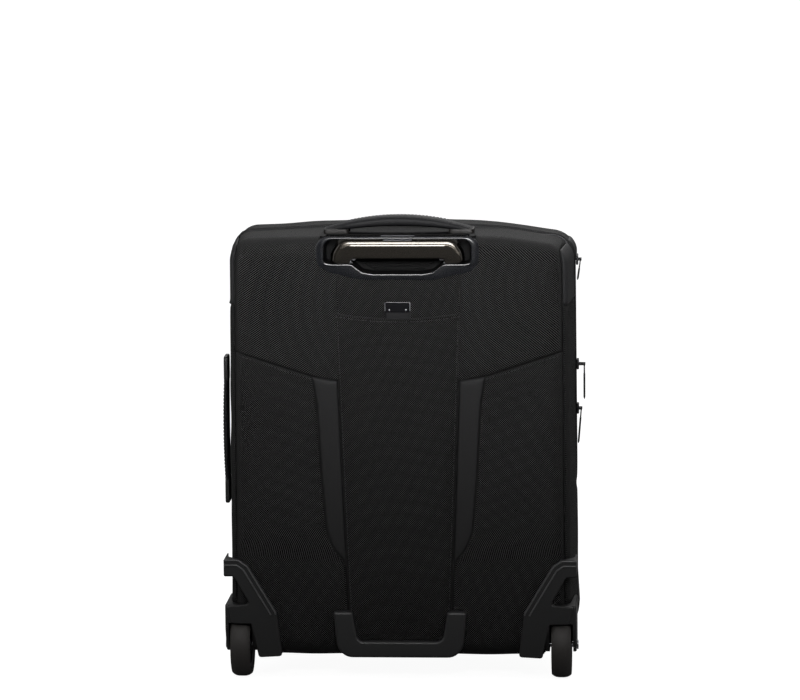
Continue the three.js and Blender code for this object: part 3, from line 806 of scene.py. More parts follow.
ALUMINIUM = polished("tube_aluminium", (0.45, 0.46, 0.48), 0.28, streak=(0.9, 0.9, 0.015))
STEEL = polished("steel", (0.40, 0.41, 0.43), 0.3)
ZIP_METAL = polished("zip_gunmetal", (0.030, 0.030, 0.032), 0.36, metallic=0.8, coat=0.1)
COIL = moulded("zip_coil", (0.003, 0.003, 0.0033), roughness=0.45, relief=0.02, shine=0.25)
TAPE = ribbed("zip_tape", (0.002, 0.002, 0.0023), 0.9)
WEBBING = ribbed("webbing", (0.014, 0.014, 0.016), 1.8, relief=0.5)
THREAD = grained("thread", (0.014, 0.014, 0.016), roughness=0.6, cell=3.0)
TYRE = rubber("tyre_rubber", (0.025, 0.0225, 0.021))
SKID = moulded("skid_plastic", (0.0135, 0.0135, 0.014))
# The ridges are moulded in the housing's black plastic; their paler colour is a painted highlight along
# them.
RIDGE_HIGHLIGHT = moulded("housing_ridge_painted_highlight", (0.050, 0.050, 0.051), roughness=0.35, relief=0.02)
BASE = moulded("handle_base", (0.0052, 0.0045, 0.0040), roughness=0.5, shine=0.3)
HUB = moulded("hub_plastic", (0.020, 0.020, 0.022))
GLOSS = moulded("tag_gloss", (0.004, 0.004, 0.005), roughness=0.12, relief=0.01)
CARD = paper("address_card", (0.75, 0.74, 0.70))
BOARD = moulded("stiff_board", (0.010, 0.010, 0.010), roughness=0.6)

# The material slot that each finish belongs to. Threads take the slot of what they are sewn on.
SLOTS = {
    "body_fabric": (FABRIC, CENTRE_FABRIC),
    "trim_pu": (TRIM, STRIP, PIPING, HANDLE_SKIN),
    "zip_coil": (COIL, TAPE),
    "lining": (LINING,),
    "webbing": (WEBBING,),
    "black_moulding": (MOULDED, WELL_SKIN_AND_SHADE, BEZEL, BUTTON, SKID, RIDGE_HIGHLIGHT),
    "hub_plastic": (COLLAR, HUB),
    "gunmetal_grip": (GRIP,),
    "tyre_rubber": (TYRE,),
    "tag_gloss": (GLOSS,),
    "zip_metal": (ZIP_METAL,),
    "steel": (STEEL,),
}
SLOT_OF = {finish.name: slot for slot, finishes in SLOTS.items() for finish in finishes}


# ---- Back of the case ----


def upper_back():
    """One cloth from the diagonal seams up the back, over the shoulder and across the top."""
    share = np.sin(np.linspace(-1, 1, 97) * math.pi / 2)
    share = 0.75 * np.linspace(-1, 1, 97) + 0.25 * share
    guess = share * seam_x(440.0)
    flat_rows = np.linspace(0, 1, 46)[:, None]
    low = diagonal_z(guess)
    high = top_z(share * SEAM_END_X) - SHOULDER
    z_flat = low + (high - low) * flat_rows
    turn = np.linspace(0, math.pi / 2, 13)[1:, None]
    z_turn = high + SHOULDER * np.sin(turn)
    z = np.concatenate([z_flat, z_turn])
    x = share * seam_x(z)
    z = np.minimum(z, top_z(x))
    back = points(x, back_y(x, z), z)
    top_y = np.linspace(BACK + SHOULDER, TUB_RIM, 18)[1:, None]
    across = np.broadcast_to(share * SEAM_END_X, (len(top_y), len(share)))
    top = points(across, top_y, top_z(across))
    grid = np.concatenate([back, top])
    grid = upholstered(grid, puff=0.5, tuck=1.1, seams="lrb", seed=3, uneven=0.45, scale=120)
    obj = sheet("upper_back_skin", drawn_in(grid), "case", FABRIC, drop=under_bezel)
    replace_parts(obj, "tub_shell")


def under_bezel(at):
    """The part of the back that the handle's well takes out."""
    x, y, z = np.abs(at[:, 0]), at[:, 1], at[:, 2]
    sill = np.interp(x, [0, 34, 50, 88], [468, 469, 478, 480])
    return (x < 88) & (z > sill) & (y < -65)


def lower_back():
    """The cloth on each side of the centre panel, from the diagonal seam down over the bottom edge."""
    share = np.linspace(0, 1, 41)
    top = diagonal_z(STRIP_EDGE_X[-1] + share * (seam_x(370.0) - STRIP_EDGE_X[-1]))
    flat = BOTTOM + SHOULDER + (top - BOTTOM - SHOULDER) * np.linspace(0, 1, 56)[:, None]
    turn = np.linspace(math.pi / 2, 0, 11)[:-1, None]
    bend = BOTTOM + SHOULDER * (1 - np.sin(turn)) + 0 * share
    z = np.concatenate([bend, flat])
    inner = np.where(z > STRIP_EDGE_Z[0], np.interp(z, STRIP_EDGE_Z, STRIP_EDGE_X), centre_half(z))
    x = inner + share * (seam_x(z) - inner)
    grid = upholstered(points(x, back_y(x, z), z), puff=0.8, tuck=1.2, seams="lrt", seed=5, uneven=0.6)
    both_sides("lower_back_skin", drawn_in(grid), "case", FABRIC, drop=in_well)


def in_well(at):
    x, y, z = np.abs(at[:, 0]), at[:, 1], at[:, 2]
    return (x > WELL_HALF[0]) & (y < WELL_FRONT) & (z < WELL_TOP)


def strips():
    """The smooth strips beside the centre panel, pointed at their lower ends."""
    share = np.linspace(0, 1, 13)
    rows = np.linspace(0, 1, 60)[:, None]
    top = np.interp(share, [0, 1], [348.3, 353])
    z = STRIP_EDGE_Z[0] + (top - STRIP_EDGE_Z[0]) * rows
    inner = centre_half(z)
    outer = np.maximum(np.interp(z, STRIP_EDGE_Z, STRIP_EDGE_X), inner + 0.5)
    x = inner + share * (outer - inner)
    grid = upholstered(points(x, back_y(x, z), z), puff=0.5, tuck=0.8, seams="lrt", seed=8, uneven=0.15)
    both_sides("smooth_strip", grid, "case", STRIP, thickness=0.9)


def centre_panels():
    """The lower panel, with the mouth of the card pocket at its top, and the short one above it."""
    share = np.linspace(-1, 1, 49)
    share = 0.7 * share + 0.3 * np.sin(share * math.pi / 2)
    bend = BOTTOM + SHOULDER * (1 - np.sin(np.linspace(math.pi / 2, 0.1, 9)[:, None])) + 0 * share
    low = BOTTOM + SHOULDER
    top = cross_seam_z(share * centre_half(423))
    z = np.concatenate([bend, low + (top - low) * np.linspace(0, 1, 64)[:, None]])
    x = share * centre_half(z)
    stand = 2.6 * (1 - np.exp(-(1 - np.abs(share)) * 60 / 2.2))
    grid = points(x, back_y(x, z) - stand, z)
    grid = upholstered(grid, puff=0.6, tuck=1.0, seams="lr", seed=11, uneven=0.5, scale=110)
    obj = sheet("lower_centre_skin", grid, "case", CENTRE_FABRIC, thickness=1.2)
    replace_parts(obj, "lower_centre_panel")

    low, high = cross_seam_z(share * centre_half(423)) - 3, 486
    z = low + (high - low) * np.linspace(0, 1, 22)[:, None]
    x = share * (centre_half(z) - 0.2)
    stand = 0.9 * (1 - np.exp(-(1 - np.abs(share)) * 60 / 2.0))
    grid = points(x, back_y(x, z) - stand, z)
    grid = upholstered(grid, puff=0.3, tuck=0.9, seams="lr", seed=12, uneven=0.25)
    obj = sheet("upper_centre_skin", grid, "case", CENTRE_FABRIC, thickness=0.9, drop=under_bezel)
    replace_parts(obj, "upper_centre_panel")


def back_stitching():
    """Rows of stitches beside the seams of the back."""
    lift = (0, -1, 0)
    z = np.linspace(84, 416, 80)
    for side, sign in SIDES:
        x = centre_half(z) - 3.2
        path = points(sign * x, back_y(x, z) - 3.3, z)
        stitches("centre_stitches_" + side, path, lift, "case")
        x = np.linspace(101, 186, 30)
        z_seam = diagonal_z(x) - 3.0
        path = drawn_in(points(sign * x, back_y(x, z_seam) - 0.9, z_seam))
        stitches("diagonal_stitches_" + side, path, lift, "case")
    x = np.linspace(-69, 69, 40)
    z_hem = cross_seam_z(x) - 3.2
    stitches("pocket_hem_stitches", points(x, back_y(x, z_hem) - 3.4, z_hem), lift, "case")
    hem = points(x, back_y(x, cross_seam_z(x)) - 3.6, cross_seam_z(x))
    piping("pocket_hem", hem, 0.7, "case")


# ---- Sides, top corners and bottom of the tub ----


def side_reaches(first, count=(9, 13, 9)):
    """Reaches from the side seam to the rim, with one exactly at the front of the wheel wells."""
    well = ARC + WELL_FRONT - BACK - SHOULDER
    parts = [
        first + (ARC - first) * np.linspace(0, 1, count[0]),
        np.linspace(ARC, well, count[1])[1:],
        np.linspace(well, REACH_RIM, count[2])[1:],
    ]
    return np.concatenate(parts)


def sides():
    first = reach_of(SEAM_INSET)
    corner = np.linspace(STATIONS[1], STATIONS[2], 13)[:-1]
    low = right_station(np.linspace(CORE_Z[0], WELL_TOP, 6))[:-1]
    high = right_station(np.linspace(WELL_TOP, CUFF_Z, 64))
    stations = np.concatenate([corner, low, high])[:, None]
    grid = wrapped(stations, side_reaches(first)[None])
    grid = upholstered(grid, puff=0.7, tuck=1.0, seams="ltr", seed=21, uneven=0.6, scale=100)
    both_sides("side_skin", drawn_in(grid), "case", FABRIC, drop=in_well)


def corner_trims():
    """Smooth trim outside the seam, from its level lower end, over the top corner."""
    straight = right_station(np.linspace(CUFF_Z, CORE_Z[1], 12))[:-1]
    bend, bend_inset = corner_seam(np.linspace(0, 1, 18))
    stations = np.concatenate([straight, bend])[:, None]
    inset = np.concatenate([SEAM_INSET + 0 * straight, bend_inset])[:, None]
    first = reach_of(inset)
    grid = wrapped(stations, first + (REACH_RIM - first) * np.linspace(0, 1, 30)[None])
    grid = upholstered(grid, puff=0.7, tuck=0.9, seams="lr", seed=23, uneven=0.2)
    both_sides("corner_trim", drawn_in(grid), "case", TRIM, thickness=1.2)
    for side, sign in SIDES:
        cuff = wrapped(np.array([[right_station(CUFF_Z)]]), side_reaches(reach_of(SEAM_INSET))[None])[0]
        cuff = cuff + np.array([0.5, -0.25, 0.4])
        path = drawn_in(cuff) * np.array([sign, 1, 1])
        piping("trim_end_" + side, path, 0.8, "case", sides=6, up=(0, 0, 1))
        inner = drawn_in(wrapped(stations, first))[:, 0] * np.array([sign, 1, 1])
        seam = np.concatenate([side_seam(sign), inner])
        piping("side_seam_" + side, seam, 0.55, "case", sides=6, up=(0, 1, 0.01))


def side_seam(sign):
    stations = right_station(np.linspace(96, CUFF_Z - 2, 60))[:, None]
    return drawn_in(wrapped(stations, np.array([[reach_of(SEAM_INSET)]])))[:, 0] * np.array([sign, 1, 1])


def tub_bottom():
    stations = np.linspace(-STATIONS[1], STATIONS[1], 60)[:, None]
    grid = wrapped(stations, np.linspace(ARC - 0.5, REACH_RIM, 20)[None])
    grid = upholstered(grid, puff=0.3, tuck=0.4, seams="r", seed=25, uneven=0.4)
    sheet("tub_bottom", drawn_in(grid), "case", STRIP)
    x = np.linspace(-134, 134, 60)
    z = BOTTOM + 4.2 + 0 * x
    piping("bottom_piping", points(x, back_y(x, z) - 0.3, z), 1.5, "case")


def loop_at(inset, y, count=260):
    stations = np.linspace(0, LOOP, count + 1)[:-1]
    x, z = rim(stations, inset)
    return points(x, y, z)


def band(name, insets, ys, body, finish, count=200, shape=None, **options):
    """A closed band round the case through a profile of insets and ys."""
    stations = np.linspace(0, LOOP, count + 1)[:-1][:, None]
    x, z = rim(stations, np.array(insets, float)[None])
    grid = points(x, np.array(ys, float)[None], z)
    if shape is not None:
        grid = shape(grid)
    return sheet(name, grid, body, finish, closed=True, **options)


TEETH_PITCH = 1.9


def zip_coil(name, path, outward, body, width):
    """The two rows of teeth of a closed zip, along a path, facing outward."""
    at = resampled(path, TEETH_PITCH)
    lifts = outward(at)
    ahead = unit(np.gradient(at, axis=0))
    across = np.cross(ahead, lifts)
    slant = across + 0.35 * ahead * np.where(np.arange(len(at)) % 2, 1, -1)[:, None]
    shift = across * np.where(np.arange(len(at)) % 2, 0.22, -0.22)[:, None] * width
    return beads(name, at + shift, slant, lifts, width * 0.62, 1.25, 1.3, body, COIL)


def away_from_core(at):
    """Outward directions round the case's outline."""
    core_x = np.clip(at[:, 0], -CORE_X[2], CORE_X[2])
    core_z = np.clip(at[:, 2], CORE_Z[0], CORE_Z[1])
    away = np.stack([at[:, 0] - core_x, 0 * core_x, at[:, 2] - core_z], 1)
    return unit(away)


def expansion_zone():
    """The tub's rim, the expansion zip, the gusset and the main zip."""
    zip_y = (box("expansion_zip")[0][1] + box("expansion_zip")[1][1]) / 2
    piping("tub_rim_piping", loop_at(0.4, TUB_RIM - 3.2), 1.0, "case", closed=True)
    tape = band("expansion_zip_tape", [2.4, 1.5, 1.5, 2.4], [10.2, 11.4, 13.6, 14.8], "case", TAPE,
                thickness=0.8)
    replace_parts(tape, "expansion_zip")
    path = np.concatenate([loop_at(1.1, zip_y, 900), loop_at(1.1, zip_y, 900)[:1]])
    zip_coil("expansion_zip_coil", path, away_from_core, "case", 3.6)
    insets = [2.2, 1.0, 0.7, 0.6, 0.7, 1.0, 2.2]
    ys = [15.2, 15.6, 17.5, 19.5, 21.5, 23.4, 23.9]
    gusset = band("gusset_cloth", insets, ys, "expansion", FABRIC, thickness=1.2)
    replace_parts(gusset, "expansion_gusset")
    share = np.linspace(0, 1, 16)
    fold = 1.5 + 3.6 * np.sin(math.pi * share) ** 0.5
    across_fold = ("case", "expansion", (0, TUB_RIM, 270), (0, 16, 270))
    inner = band("gusset_fold", fold, TUB_RIM - 1 + share * 7.5, across_fold,
                 FABRIC, thickness=0.6)
    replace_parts(inner, "expansion_gusset")
    for name, y in (("gusset_piping_back", 15.6), ("gusset_piping_front", 23.3)):
        piping(name, loop_at(0.9, y), 0.9, "expansion", closed=True)
    main_zip()


HINGE_SPAN = [60, 480]


def main_zip():
    """The zip runs round the top, the right and the bottom, and the left edge is the fabric hinge."""
    low, high = box("main_zip")
    middle = (low[1] + high[1]) / 2
    left_low = LOOP - right_station(HINGE_SPAN[0])
    left_high = LOOP - right_station(HINGE_SPAN[1])
    around = np.linspace(left_low, LOOP + left_high, 700)
    x, z = rim(around, 1.2)
    path = points(x, middle, z)
    zip_coil("main_zip_coil", path, away_from_core, "expansion", 3.0)
    insets, ys = np.array([3.4, 1.7, 1.7, 3.4]), np.array([24.1, 24.8, 27.0, 27.9])
    x, z = rim(around[::4][:, None], insets[None])
    tape = sheet("main_zip_tape", points(x, ys[None], z), "expansion", TAPE, thickness=0.8)
    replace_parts(tape, "main_zip")
    hinge = np.linspace(left_high - 4, left_low + 4, 60)[:, None]
    ys = np.linspace(22.5, 30, 14)
    bulge = 0.6 - 0.45 * np.cos(np.linspace(-math.pi, math.pi, 14))
    x, z = rim(hinge, bulge[None])
    cloth = sheet("hinge_cloth", points(x, ys[None], z), ("expansion", "lid", (0, 24, 270), (0, 28.2, 270)),
                  FABRIC, thickness=1.0)
    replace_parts(cloth, "hinge_strip")


# ---- Lid and pockets ----

LID_BACK = LID_LOW[1]
LID_FRONT = LID_HIGH[1]
PINCH_Z = 206.0


def lid_waist(grid):
    """The lid's sides draw in just above the lower guard."""
    x, z = grid[..., 0], grid[..., 2]
    above = np.exp(-np.clip(z - PINCH_Z, 0, 99) / 7.0)
    below = 0.55 * np.ones_like(z)
    pull = np.where(z > PINCH_Z, above, np.maximum(below, 1 - (PINCH_Z - z) / 3.0))
    pull = pull * np.clip((np.abs(x) - 150) / 40, 0, 1) * np.clip((z - 60) / 40, 0, 1)
    moved = grid.copy()
    moved[..., 0] = x - np.sign(x) * 3.6 * pull
    return moved


def lid():
    turn = np.linspace(0, math.pi / 2, 9)
    insets_turn = LID_EDGE * (1 - np.cos(turn))[1:]
    insets = np.concatenate([[3.0, 0.9, 0.2], 0 * np.arange(14), insets_turn, [15.5, 18]])
    ys_side = np.linspace(LID_BACK + 3, LID_FRONT - LID_EDGE, 14)
    ys_turn = LID_FRONT - LID_EDGE * (1 - np.sin(turn))[1:]
    ys_back = [LID_BACK + 0.2, LID_BACK + 0.6, LID_BACK + 1.6]
    ys = np.concatenate([ys_back, ys_side, ys_turn, [LID_FRONT, LID_FRONT]])
    soft = lambda grid: lid_waist(upholstered(grid, 0.2, 0.6, "r", seed=31, uneven=0.7, scale=110))
    skin = band("lid_side_skin", insets, ys, "lid", FABRIC, count=320, shape=soft)
    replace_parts(skin, "lid_shell")
    rows = np.linspace(BOTTOM + 17, TOP - CROWN - 15, 70)[:, None]
    share = np.linspace(-1, 1, 60)
    wide = half_width(rows, 16.5)
    front = points(share * wide, LID_FRONT - 0.7, rows + 0 * share)
    front = upholstered(front, 0.3, 0.0, seed=33, uneven=0.25)
    sheet("lid_front_skin", front, "lid", FABRIC)
    piping("lid_back_piping", lid_waist(loop_at(0.2, LID_BACK + 2.0)), 1.5, "lid", closed=True)
    piping("lid_front_piping", loop_at(5.2, LID_FRONT - 2.6), 1.9, "lid", closed=True)
    lid_trims()


def lid_trims():
    """Smooth trims on the lid: halfway over its top corners, and round its lower corners."""
    ys = np.linspace(LID_BACK + 3.5, LID_FRONT - LID_EDGE, 14)
    turn = np.linspace(0, 1.25, 8)[1:]
    insets = np.concatenate([0 * ys, LID_EDGE * (1 - np.cos(turn))]) - 1.4
    ys = np.concatenate([ys, LID_FRONT - LID_EDGE * (1 - np.sin(turn))])
    ends = {
        "lid_top_trim": (right_station(475.0), STATIONS[3] + 0.5 * HIGH_TURN),
        "lid_guard": (STATIONS[1] - 20, right_station(PINCH_Z - 4)),
    }
    for name, (start, end) in ends.items():
        stations = np.linspace(start, end, 40)[:, None]
        x, z = rim(stations, insets[None])
        grid = lid_waist(points(x, ys[None], z))
        grid = upholstered(grid, 0.5, 0.7, seed=35, uneven=0.2)
        both_sides(name, grid, "lid", TRIM, thickness=1.0)


POCKET_PRESSURE = 2.2
POCKET_SWELL = 5.5


def inflated(obj, pressure, cap, pinned, frames=20):
    """Cloth simulation: the pinned edge holds while pressure swells the cloth, up to each place's cap."""
    rest = np.array([v.co for v in obj.data.vertices])
    group = obj.vertex_groups.new(name="pinned")
    group.add([int(i) for i in pinned], 1.0, "REPLACE")
    cloth = obj.modifiers.new("cloth", "CLOTH")
    settings = cloth.settings
    settings.quality = 6
    settings.mass = 0.25
    settings.tension_stiffness = 20
    settings.compression_stiffness = 12
    settings.shear_stiffness = 8
    settings.bending_stiffness = 0.6
    settings.shrink_min = -0.03
    settings.use_pressure = True
    settings.uniform_pressure_force = pressure
    settings.effector_weights.gravity = 0
    settings.vertex_group_mass = "pinned"
    cloth.point_cache.frame_start = 1
    cloth.point_cache.frame_end = frames
    scene = bpy.context.scene
    for number in range(1, frames + 1):
        scene.frame_set(number)
    evaluated = obj.evaluated_get(bpy.context.evaluated_depsgraph_get())
    swollen = np.array([v.co for v in evaluated.data.vertices])
    obj.modifiers.remove(cloth)
    scene.frame_set(1)
    move = swollen - rest
    reach = np.linalg.norm(move, axis=1, keepdims=True)
    move *= np.minimum(1, cap(rest / MM)[:, None] * MM / np.maximum(reach, 1e-9))
    obj.data.vertices.foreach_set("co", (rest + move).astype(np.float32).ravel())
    obj.data.update()


def pocket(body, node):
    """A front pocket: a panel swelled by cloth simulation inside a piped edge."""
    low, high = box(node)
    half, z0, z1 = high[0] - 1.5, low[2] + 1.5, high[2] - 1.5
    radius = 14.0
    rows = z0 + (z1 - z0) * np.linspace(0, 1, 44)[:, None]
    near = np.minimum(rows - z0, z1 - rows)
    wide = half - radius + np.sqrt(radius**2 - np.clip(radius - near, 0, radius) ** 2)
    share = np.linspace(-1, 1, 70)
    side = (1 - np.abs(share)) * half
    edge = np.minimum(np.minimum(side, rows - z0), z1 - rows)
    lift = 2.2 * (1 - np.exp(-edge / 5.0))
    grid = points(share * wide, LID_FRONT + 1.2 + lift, rows + 0 * share)
    skin = sheet(body + "_skin", grid, body, FABRIC, thickness=0, outward=(0, 0, 270))
    index = np.arange(rows.size * share.size).reshape(rows.size, share.size)
    pinned = np.unique(np.concatenate([index[0], index[-1], index[:, 0], index[:, -1]]))
    below_pullers = lambda at: POCKET_SWELL * eased(z1 - at[:, 2], 32, 80)
    inflated(skin, POCKET_PRESSURE, below_pullers, pinned)
    smooth = skin.modifiers.new("fine", "SUBSURF")
    smooth.levels = smooth.render_levels = 1
    thicken(skin, 1.2)
    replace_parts(skin, node)
    loop = rounded(both_halves([(half, z1, radius), (half, z0, radius)]), 8)
    edge_loop = points(loop[:, 0], LID_FRONT + 1.8, loop[:, 1])
    closed_path = np.concatenate([edge_loop, edge_loop[:1]])
    even = resampled(closed_path, 4)[:-1]
    piping(body + "_piping", even, 1.5, body, closed=True)
    pocket_zip(body, z1, half)


def pocket_zip(body, z_top, half):
    """The zip above a pocket, on the lid, with a hood over its upper edge."""
    z = z_top + 9.5
    x = np.linspace(-half + 12, half - 12, 90)
    toward_front = lambda at: np.broadcast_to(np.array([0, 1.0, 0]), at.shape)
    zip_coil(body + "_zip_coil", points(x, LID_FRONT + 1.6, z), toward_front, "lid", 4.0)
    rows = np.array([-6, -3, 0, 3, 6])[:, None]
    lift = np.array([0.6, 0.9, 0.9, 0.9, 0.6])[:, None]
    tape = points(x, LID_FRONT + 0.3 + lift, z + rows)
    sheet(body + "_zip_tape", tape, "lid", TAPE, thickness=0.7, outward=(0, 0, 270))
    piping(body + "_zip_hood", points(x, LID_FRONT + 1.2, z + 7.2), 1.4, "lid")


# ---- Pull handle ----

BEZEL_LOW, BEZEL_HIGH = box("handle_bezel")
GRIP_LOW, GRIP_HIGH = box("grip_lower_shell")
WELL_FLOOR = BEZEL_HIGH[1] - 4.2


def bezel():
    """The crowned rim on the back of the case, the well that the grip sinks into, and a ledge at its top,
    coloured near black as painted shade under the carry handle.
    """
    top = BEZEL_HIGH[2]
    sill, dip = 482.0, 469.5
    outer = rounded(both_halves([(93.4, top - 0.6, 15), (92.6, 477, 17), (50, 463, 60)]), 12)
    bowl = [(52, sill, 6), (42, 473, 14), (20, dip, 30)]
    inner = rounded(both_halves([(84, top - 4, 10), (84, sill, 6)] + bowl), 8)
    inner = matched(inner, outer)
    proud = BACK - BEZEL_LOW[1]
    share = np.linspace(0, 1, 9)
    crown = np.sin(math.pi * (0.03 + 0.5 * share)) ** 0.8
    way_out = eased(outer[:, 1], top - 11, top - 5) * eased(86 - np.abs(outer[:, 0]), 0, 5)
    rings = [(outer, BACK + 8 - 9.2 * way_out)]
    rings += [(outer * (1 - t) + grown(inner, 0.9) * t, BACK - proud * c) for t, c in zip(share, crown)]
    edge = BACK - proud * crown[-1]
    rings += [(grown(inner, 0.7), edge - 0.4), (grown(inner, 0.3), edge - 0.3), (inner, edge + 0.3)]
    rings += [(inner, edge + 2.0), (grown(inner, 1.5), edge + 2.0)]
    rim_piece = stacked("bezel", rings, "case", BEZEL, caps=(False, False))
    well = [
        (grown(inner, 1.4), edge + 2.1),
        (grown(inner, -0.1), edge + 2.1),
        (grown(inner, -0.4), edge + 9),
        (grown(inner, -0.9), WELL_FLOOR - 2.5),
        (grown(inner, -1.8), WELL_FLOOR - 0.6),
        (grown(inner, -3.0), WELL_FLOOR),
    ]
    cup = stacked("handle_well", well, "case", WELL_SKIN_AND_SHADE, caps=(False, True))
    cut_away(cup, lambda at: at.z > top - 9 and abs(at.x) < 80 and at.y < WELL_FLOOR - 1)
    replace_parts(rim_piece, "handle_bezel")
    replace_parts(cup, "handle_bezel")
    # The top ledge reaches forward under the carry handle, and its near-black finish there is painted shade.
    half_ledge = [(57, -33, 6), (57, -62, 1), (88, BEZEL_HIGH[1], 3)]
    half_ledge += [(88, -87, 2), (81.5, -87, 1), (81.5, -67, 2)]
    rings = round_over(rounded(both_halves(half_ledge), 5), top - 2.2, top - 0.3, 0.9, 3)
    stacked("bezel_top_ledge_painted_shade", rings, "case", WELL_SKIN_AND_SHADE, plane="xy")
    for k in range(4):
        half = 30 + 4.5 * k
        x = np.linspace(-half, half, 24)
        z = dip + 2.2 + 3 * k + 3 * (x / half) ** 4
        tube("well_rib_%d" % k, points(x, WELL_FLOOR - 0.6, z), 0.55, "case", WELL_SKIN_AND_SHADE, sides=6,
             up=(0, 1, 0))


def cut_away(obj, region):
    """Takes out the faces whose middles lie in a region, given in millimetres."""
    mesh = bmesh.new()
    mesh.from_mesh(obj.data)
    gone = [face for face in mesh.faces if region(face.calc_center_median() / MM)]
    bmesh.ops.delete(mesh, geom=gone, context="FACES")
    mesh.to_mesh(obj.data)
    mesh.free()


def matched(loop, other):
    """The first outline with as many points as the other one, each at the same direction from the middle."""
    middle = np.array([0, (other[:, 1].max() + other[:, 1].min()) / 2])
    stretch = np.array([1, 3.4])
    ends = np.roll(loop, -1, 0)
    made = []
    for target in (other - middle) * stretch:
        start, step = (loop - middle) * stretch, (ends - loop) * stretch
        turn = start[:, 0] * target[1] - start[:, 1] * target[0]
        rate = step[:, 0] * target[1] - step[:, 1] * target[0]
        share = -turn / np.where(np.abs(rate) < 1e-9, 1e-9, rate)
        hits = start + share[:, None] * step
        ahead = hits @ target
        good = (share >= -1e-6) & (share <= 1 + 1e-6) & (ahead > 0)
        made.append(hits[good][np.argmax(ahead[good])] / stretch + middle)
    return np.array(made)


GRIP_DEEP = 9.0  # depth and height over which the bar's back rounds into its top
GRIP_FALL = 9.5


def grip_back(x, turn, lift):
    """Points over the rounded back of the bar, from turn 0 on its face to a right angle on its top."""
    y = GRIP_LOW[1] + 0.3 + GRIP_DEEP * (1 - np.cos(turn)) - lift * np.cos(turn)
    z = box("grip_upper_shell")[1][2] - GRIP_FALL * (1 - np.sin(turn)) + lift * np.sin(turn)
    return points(x, y, z)


def grip():
    """Both shells of the grip as one rounded bar with a gunmetal skin. Its ends reach down to the tubes."""
    back, front = GRIP_LOW[1], GRIP_HIGH[1]
    top, low = box("grip_upper_shell")[1][2], GRIP_LOW[2]
    foot, underside = low - 1.3, low + 6.5
    half = [(65, top, 15), (75.5, 496, 15), (77, foot, 4), (58, foot, 2), (56, underside, 4)]
    outline = rounded(both_halves(half), 10)
    deep, fall, draw = GRIP_DEEP, GRIP_FALL, 5.0
    turns = np.linspace(0, math.pi / 2, 14)
    tall, wide = top - foot, 77.0
    shrunk = lambda k: outline * [1 - draw * k / wide, 1 - fall * k / tall] + [0, foot * fall * k / tall]
    rings = [(grown(shrunk(1), -1.0), back)]
    rings += [(shrunk(1 - math.sin(t)), back + 0.3 + deep * (1 - math.cos(t))) for t in turns]
    rings += [(grown(outline, -2.5 * (1 - math.cos(t))), front - 3 * (1 - math.sin(t))) for t in turns]
    bar = stacked("grip_bar", rings, "handle_inner", GRIP)
    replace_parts(bar, "grip_upper_shell", "grip_lower_shell")
    for side, sign in SIDES:
        collar = [(sign * a, b, 1.5) for a, b in ((47.5, 486), (57, 486), (57, 490.6), (47.5, 490.6))]
        slab("tube_collar_" + side, collar, (-85, -73), 1.2, "handle_inner", COLLAR, steps=3)


def release_button():
    """A cap let into the top of the bar, wider above than below, in a dark surround."""
    share = np.linspace(-1, 1, 16)
    for name, grow, lift, body, finish in (("button_surround", 1.0, 0.45, "handle_inner", WELL_SKIN_AND_SHADE),
                                           ("button_cap", 0.0, 1.0, "release", BUTTON)):
        turn = np.radians(np.linspace(31 - 5 * grow, 80 + 4 * grow, 12))[:, None]
        half = 16 + 3 * (turn - turn[0]) / (turn[-1] - turn[0]) + 1.4 * grow
        cap = sheet(name, grip_back(share * half, turn, lift), body, finish, thickness=1.2)
        if body == "release":
            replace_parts(cap, "release_button")


# ---- Wheels, skid and feet ----

AXLE = ((box("tyre_right")[0] + box("tyre_right")[1]) / 2)[1:]
WHEEL_HALF = (box("tyre_right")[1][0] - box("tyre_right")[0][0]) / 2
WHEEL_RADIUS = (box("tyre_right")[1][2] - box("tyre_right")[0][2]) / 2


SPOKES = 5


def turned(name, profile, x_middle, body, finish, segments=72):
    """A ring of revolution about the wheels' axis, from a closed profile of (radius, x)."""
    profile = np.asarray(profile, float)
    angles = np.arange(segments) * 2 * math.pi / segments
    n = len(profile)
    verts = [
        (x_middle + px, AXLE[0] + r * math.cos(a), AXLE[1] + r * math.sin(a))
        for a in angles
        for r, px in profile
    ]
    faces = []
    for k in range(segments):
        near, far = k * n, (k + 1) % segments * n
        faces += [[near + i, near + (i + 1) % n, far + (i + 1) % n, far + i] for i in range(n)]
    return crisp(face_outwards(piece(name, verts, faces, body, finish)), 35)


def wheels():
    """Two wheels: a plain crowned rubber tyre on a hub with five spokes."""
    half = WHEEL_HALF - 0.2
    across = np.linspace(-1, 1, 25)
    crown = WHEEL_RADIUS - 3.6 * np.abs(across) ** 3.2
    tread = [(r, a * half) for r, a in zip(crown, across)]
    tyre = tread + [(28.6, half - 1.2), (27.8, half - 2.5), (27.8, 2.5 - half), (28.6, 1.2 - half)]
    rim_ring = [(24.6, half - 2.2), (27.6, half - 1.2), (27.6, 1.2 - half), (24.6, 2.2 - half)]
    boss = [(3.4, half - 1.0), (8.2, half - 1.0), (9.0, half - 2.0), (9.0, 2.0 - half), (8.2, 1.0 - half),
            (3.4, 1.0 - half)]
    for side, sign in SIDES:
        x = sign * (box("tyre_right")[0][0] + WHEEL_HALF)
        body = "wheel_" + side
        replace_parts(turned("tyre_tread_" + side, tyre, x, body, TYRE), "tyre_" + side)
        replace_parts(turned("hub_rim_" + side, rim_ring, x, body, HUB), "wheel_hub_" + side)
        turned("hub_boss_" + side, boss, x, body, HUB, 40)
        for k in range(SPOKES):
            spoke(side + "_%d" % k, x, half, 2 * math.pi * k / SPOKES, body)


def spoke(name, x, half, angle, body):
    outline = [(7.5, -4.2, 0), (25.5, -2.8, 0), (25.5, 2.8, 0), (7.5, 4.2, 0)]
    turn = Matrix.Translation((x, AXLE[0], AXLE[1])) @ Matrix.Rotation(angle, 4, "X")
    slab("hub_spoke_" + name, outline, (3.0 - half, half - 3.0), 0.9, body, HUB, plane="yz",
         steps=2, transform=turn)


SKID_BACK = -66.0


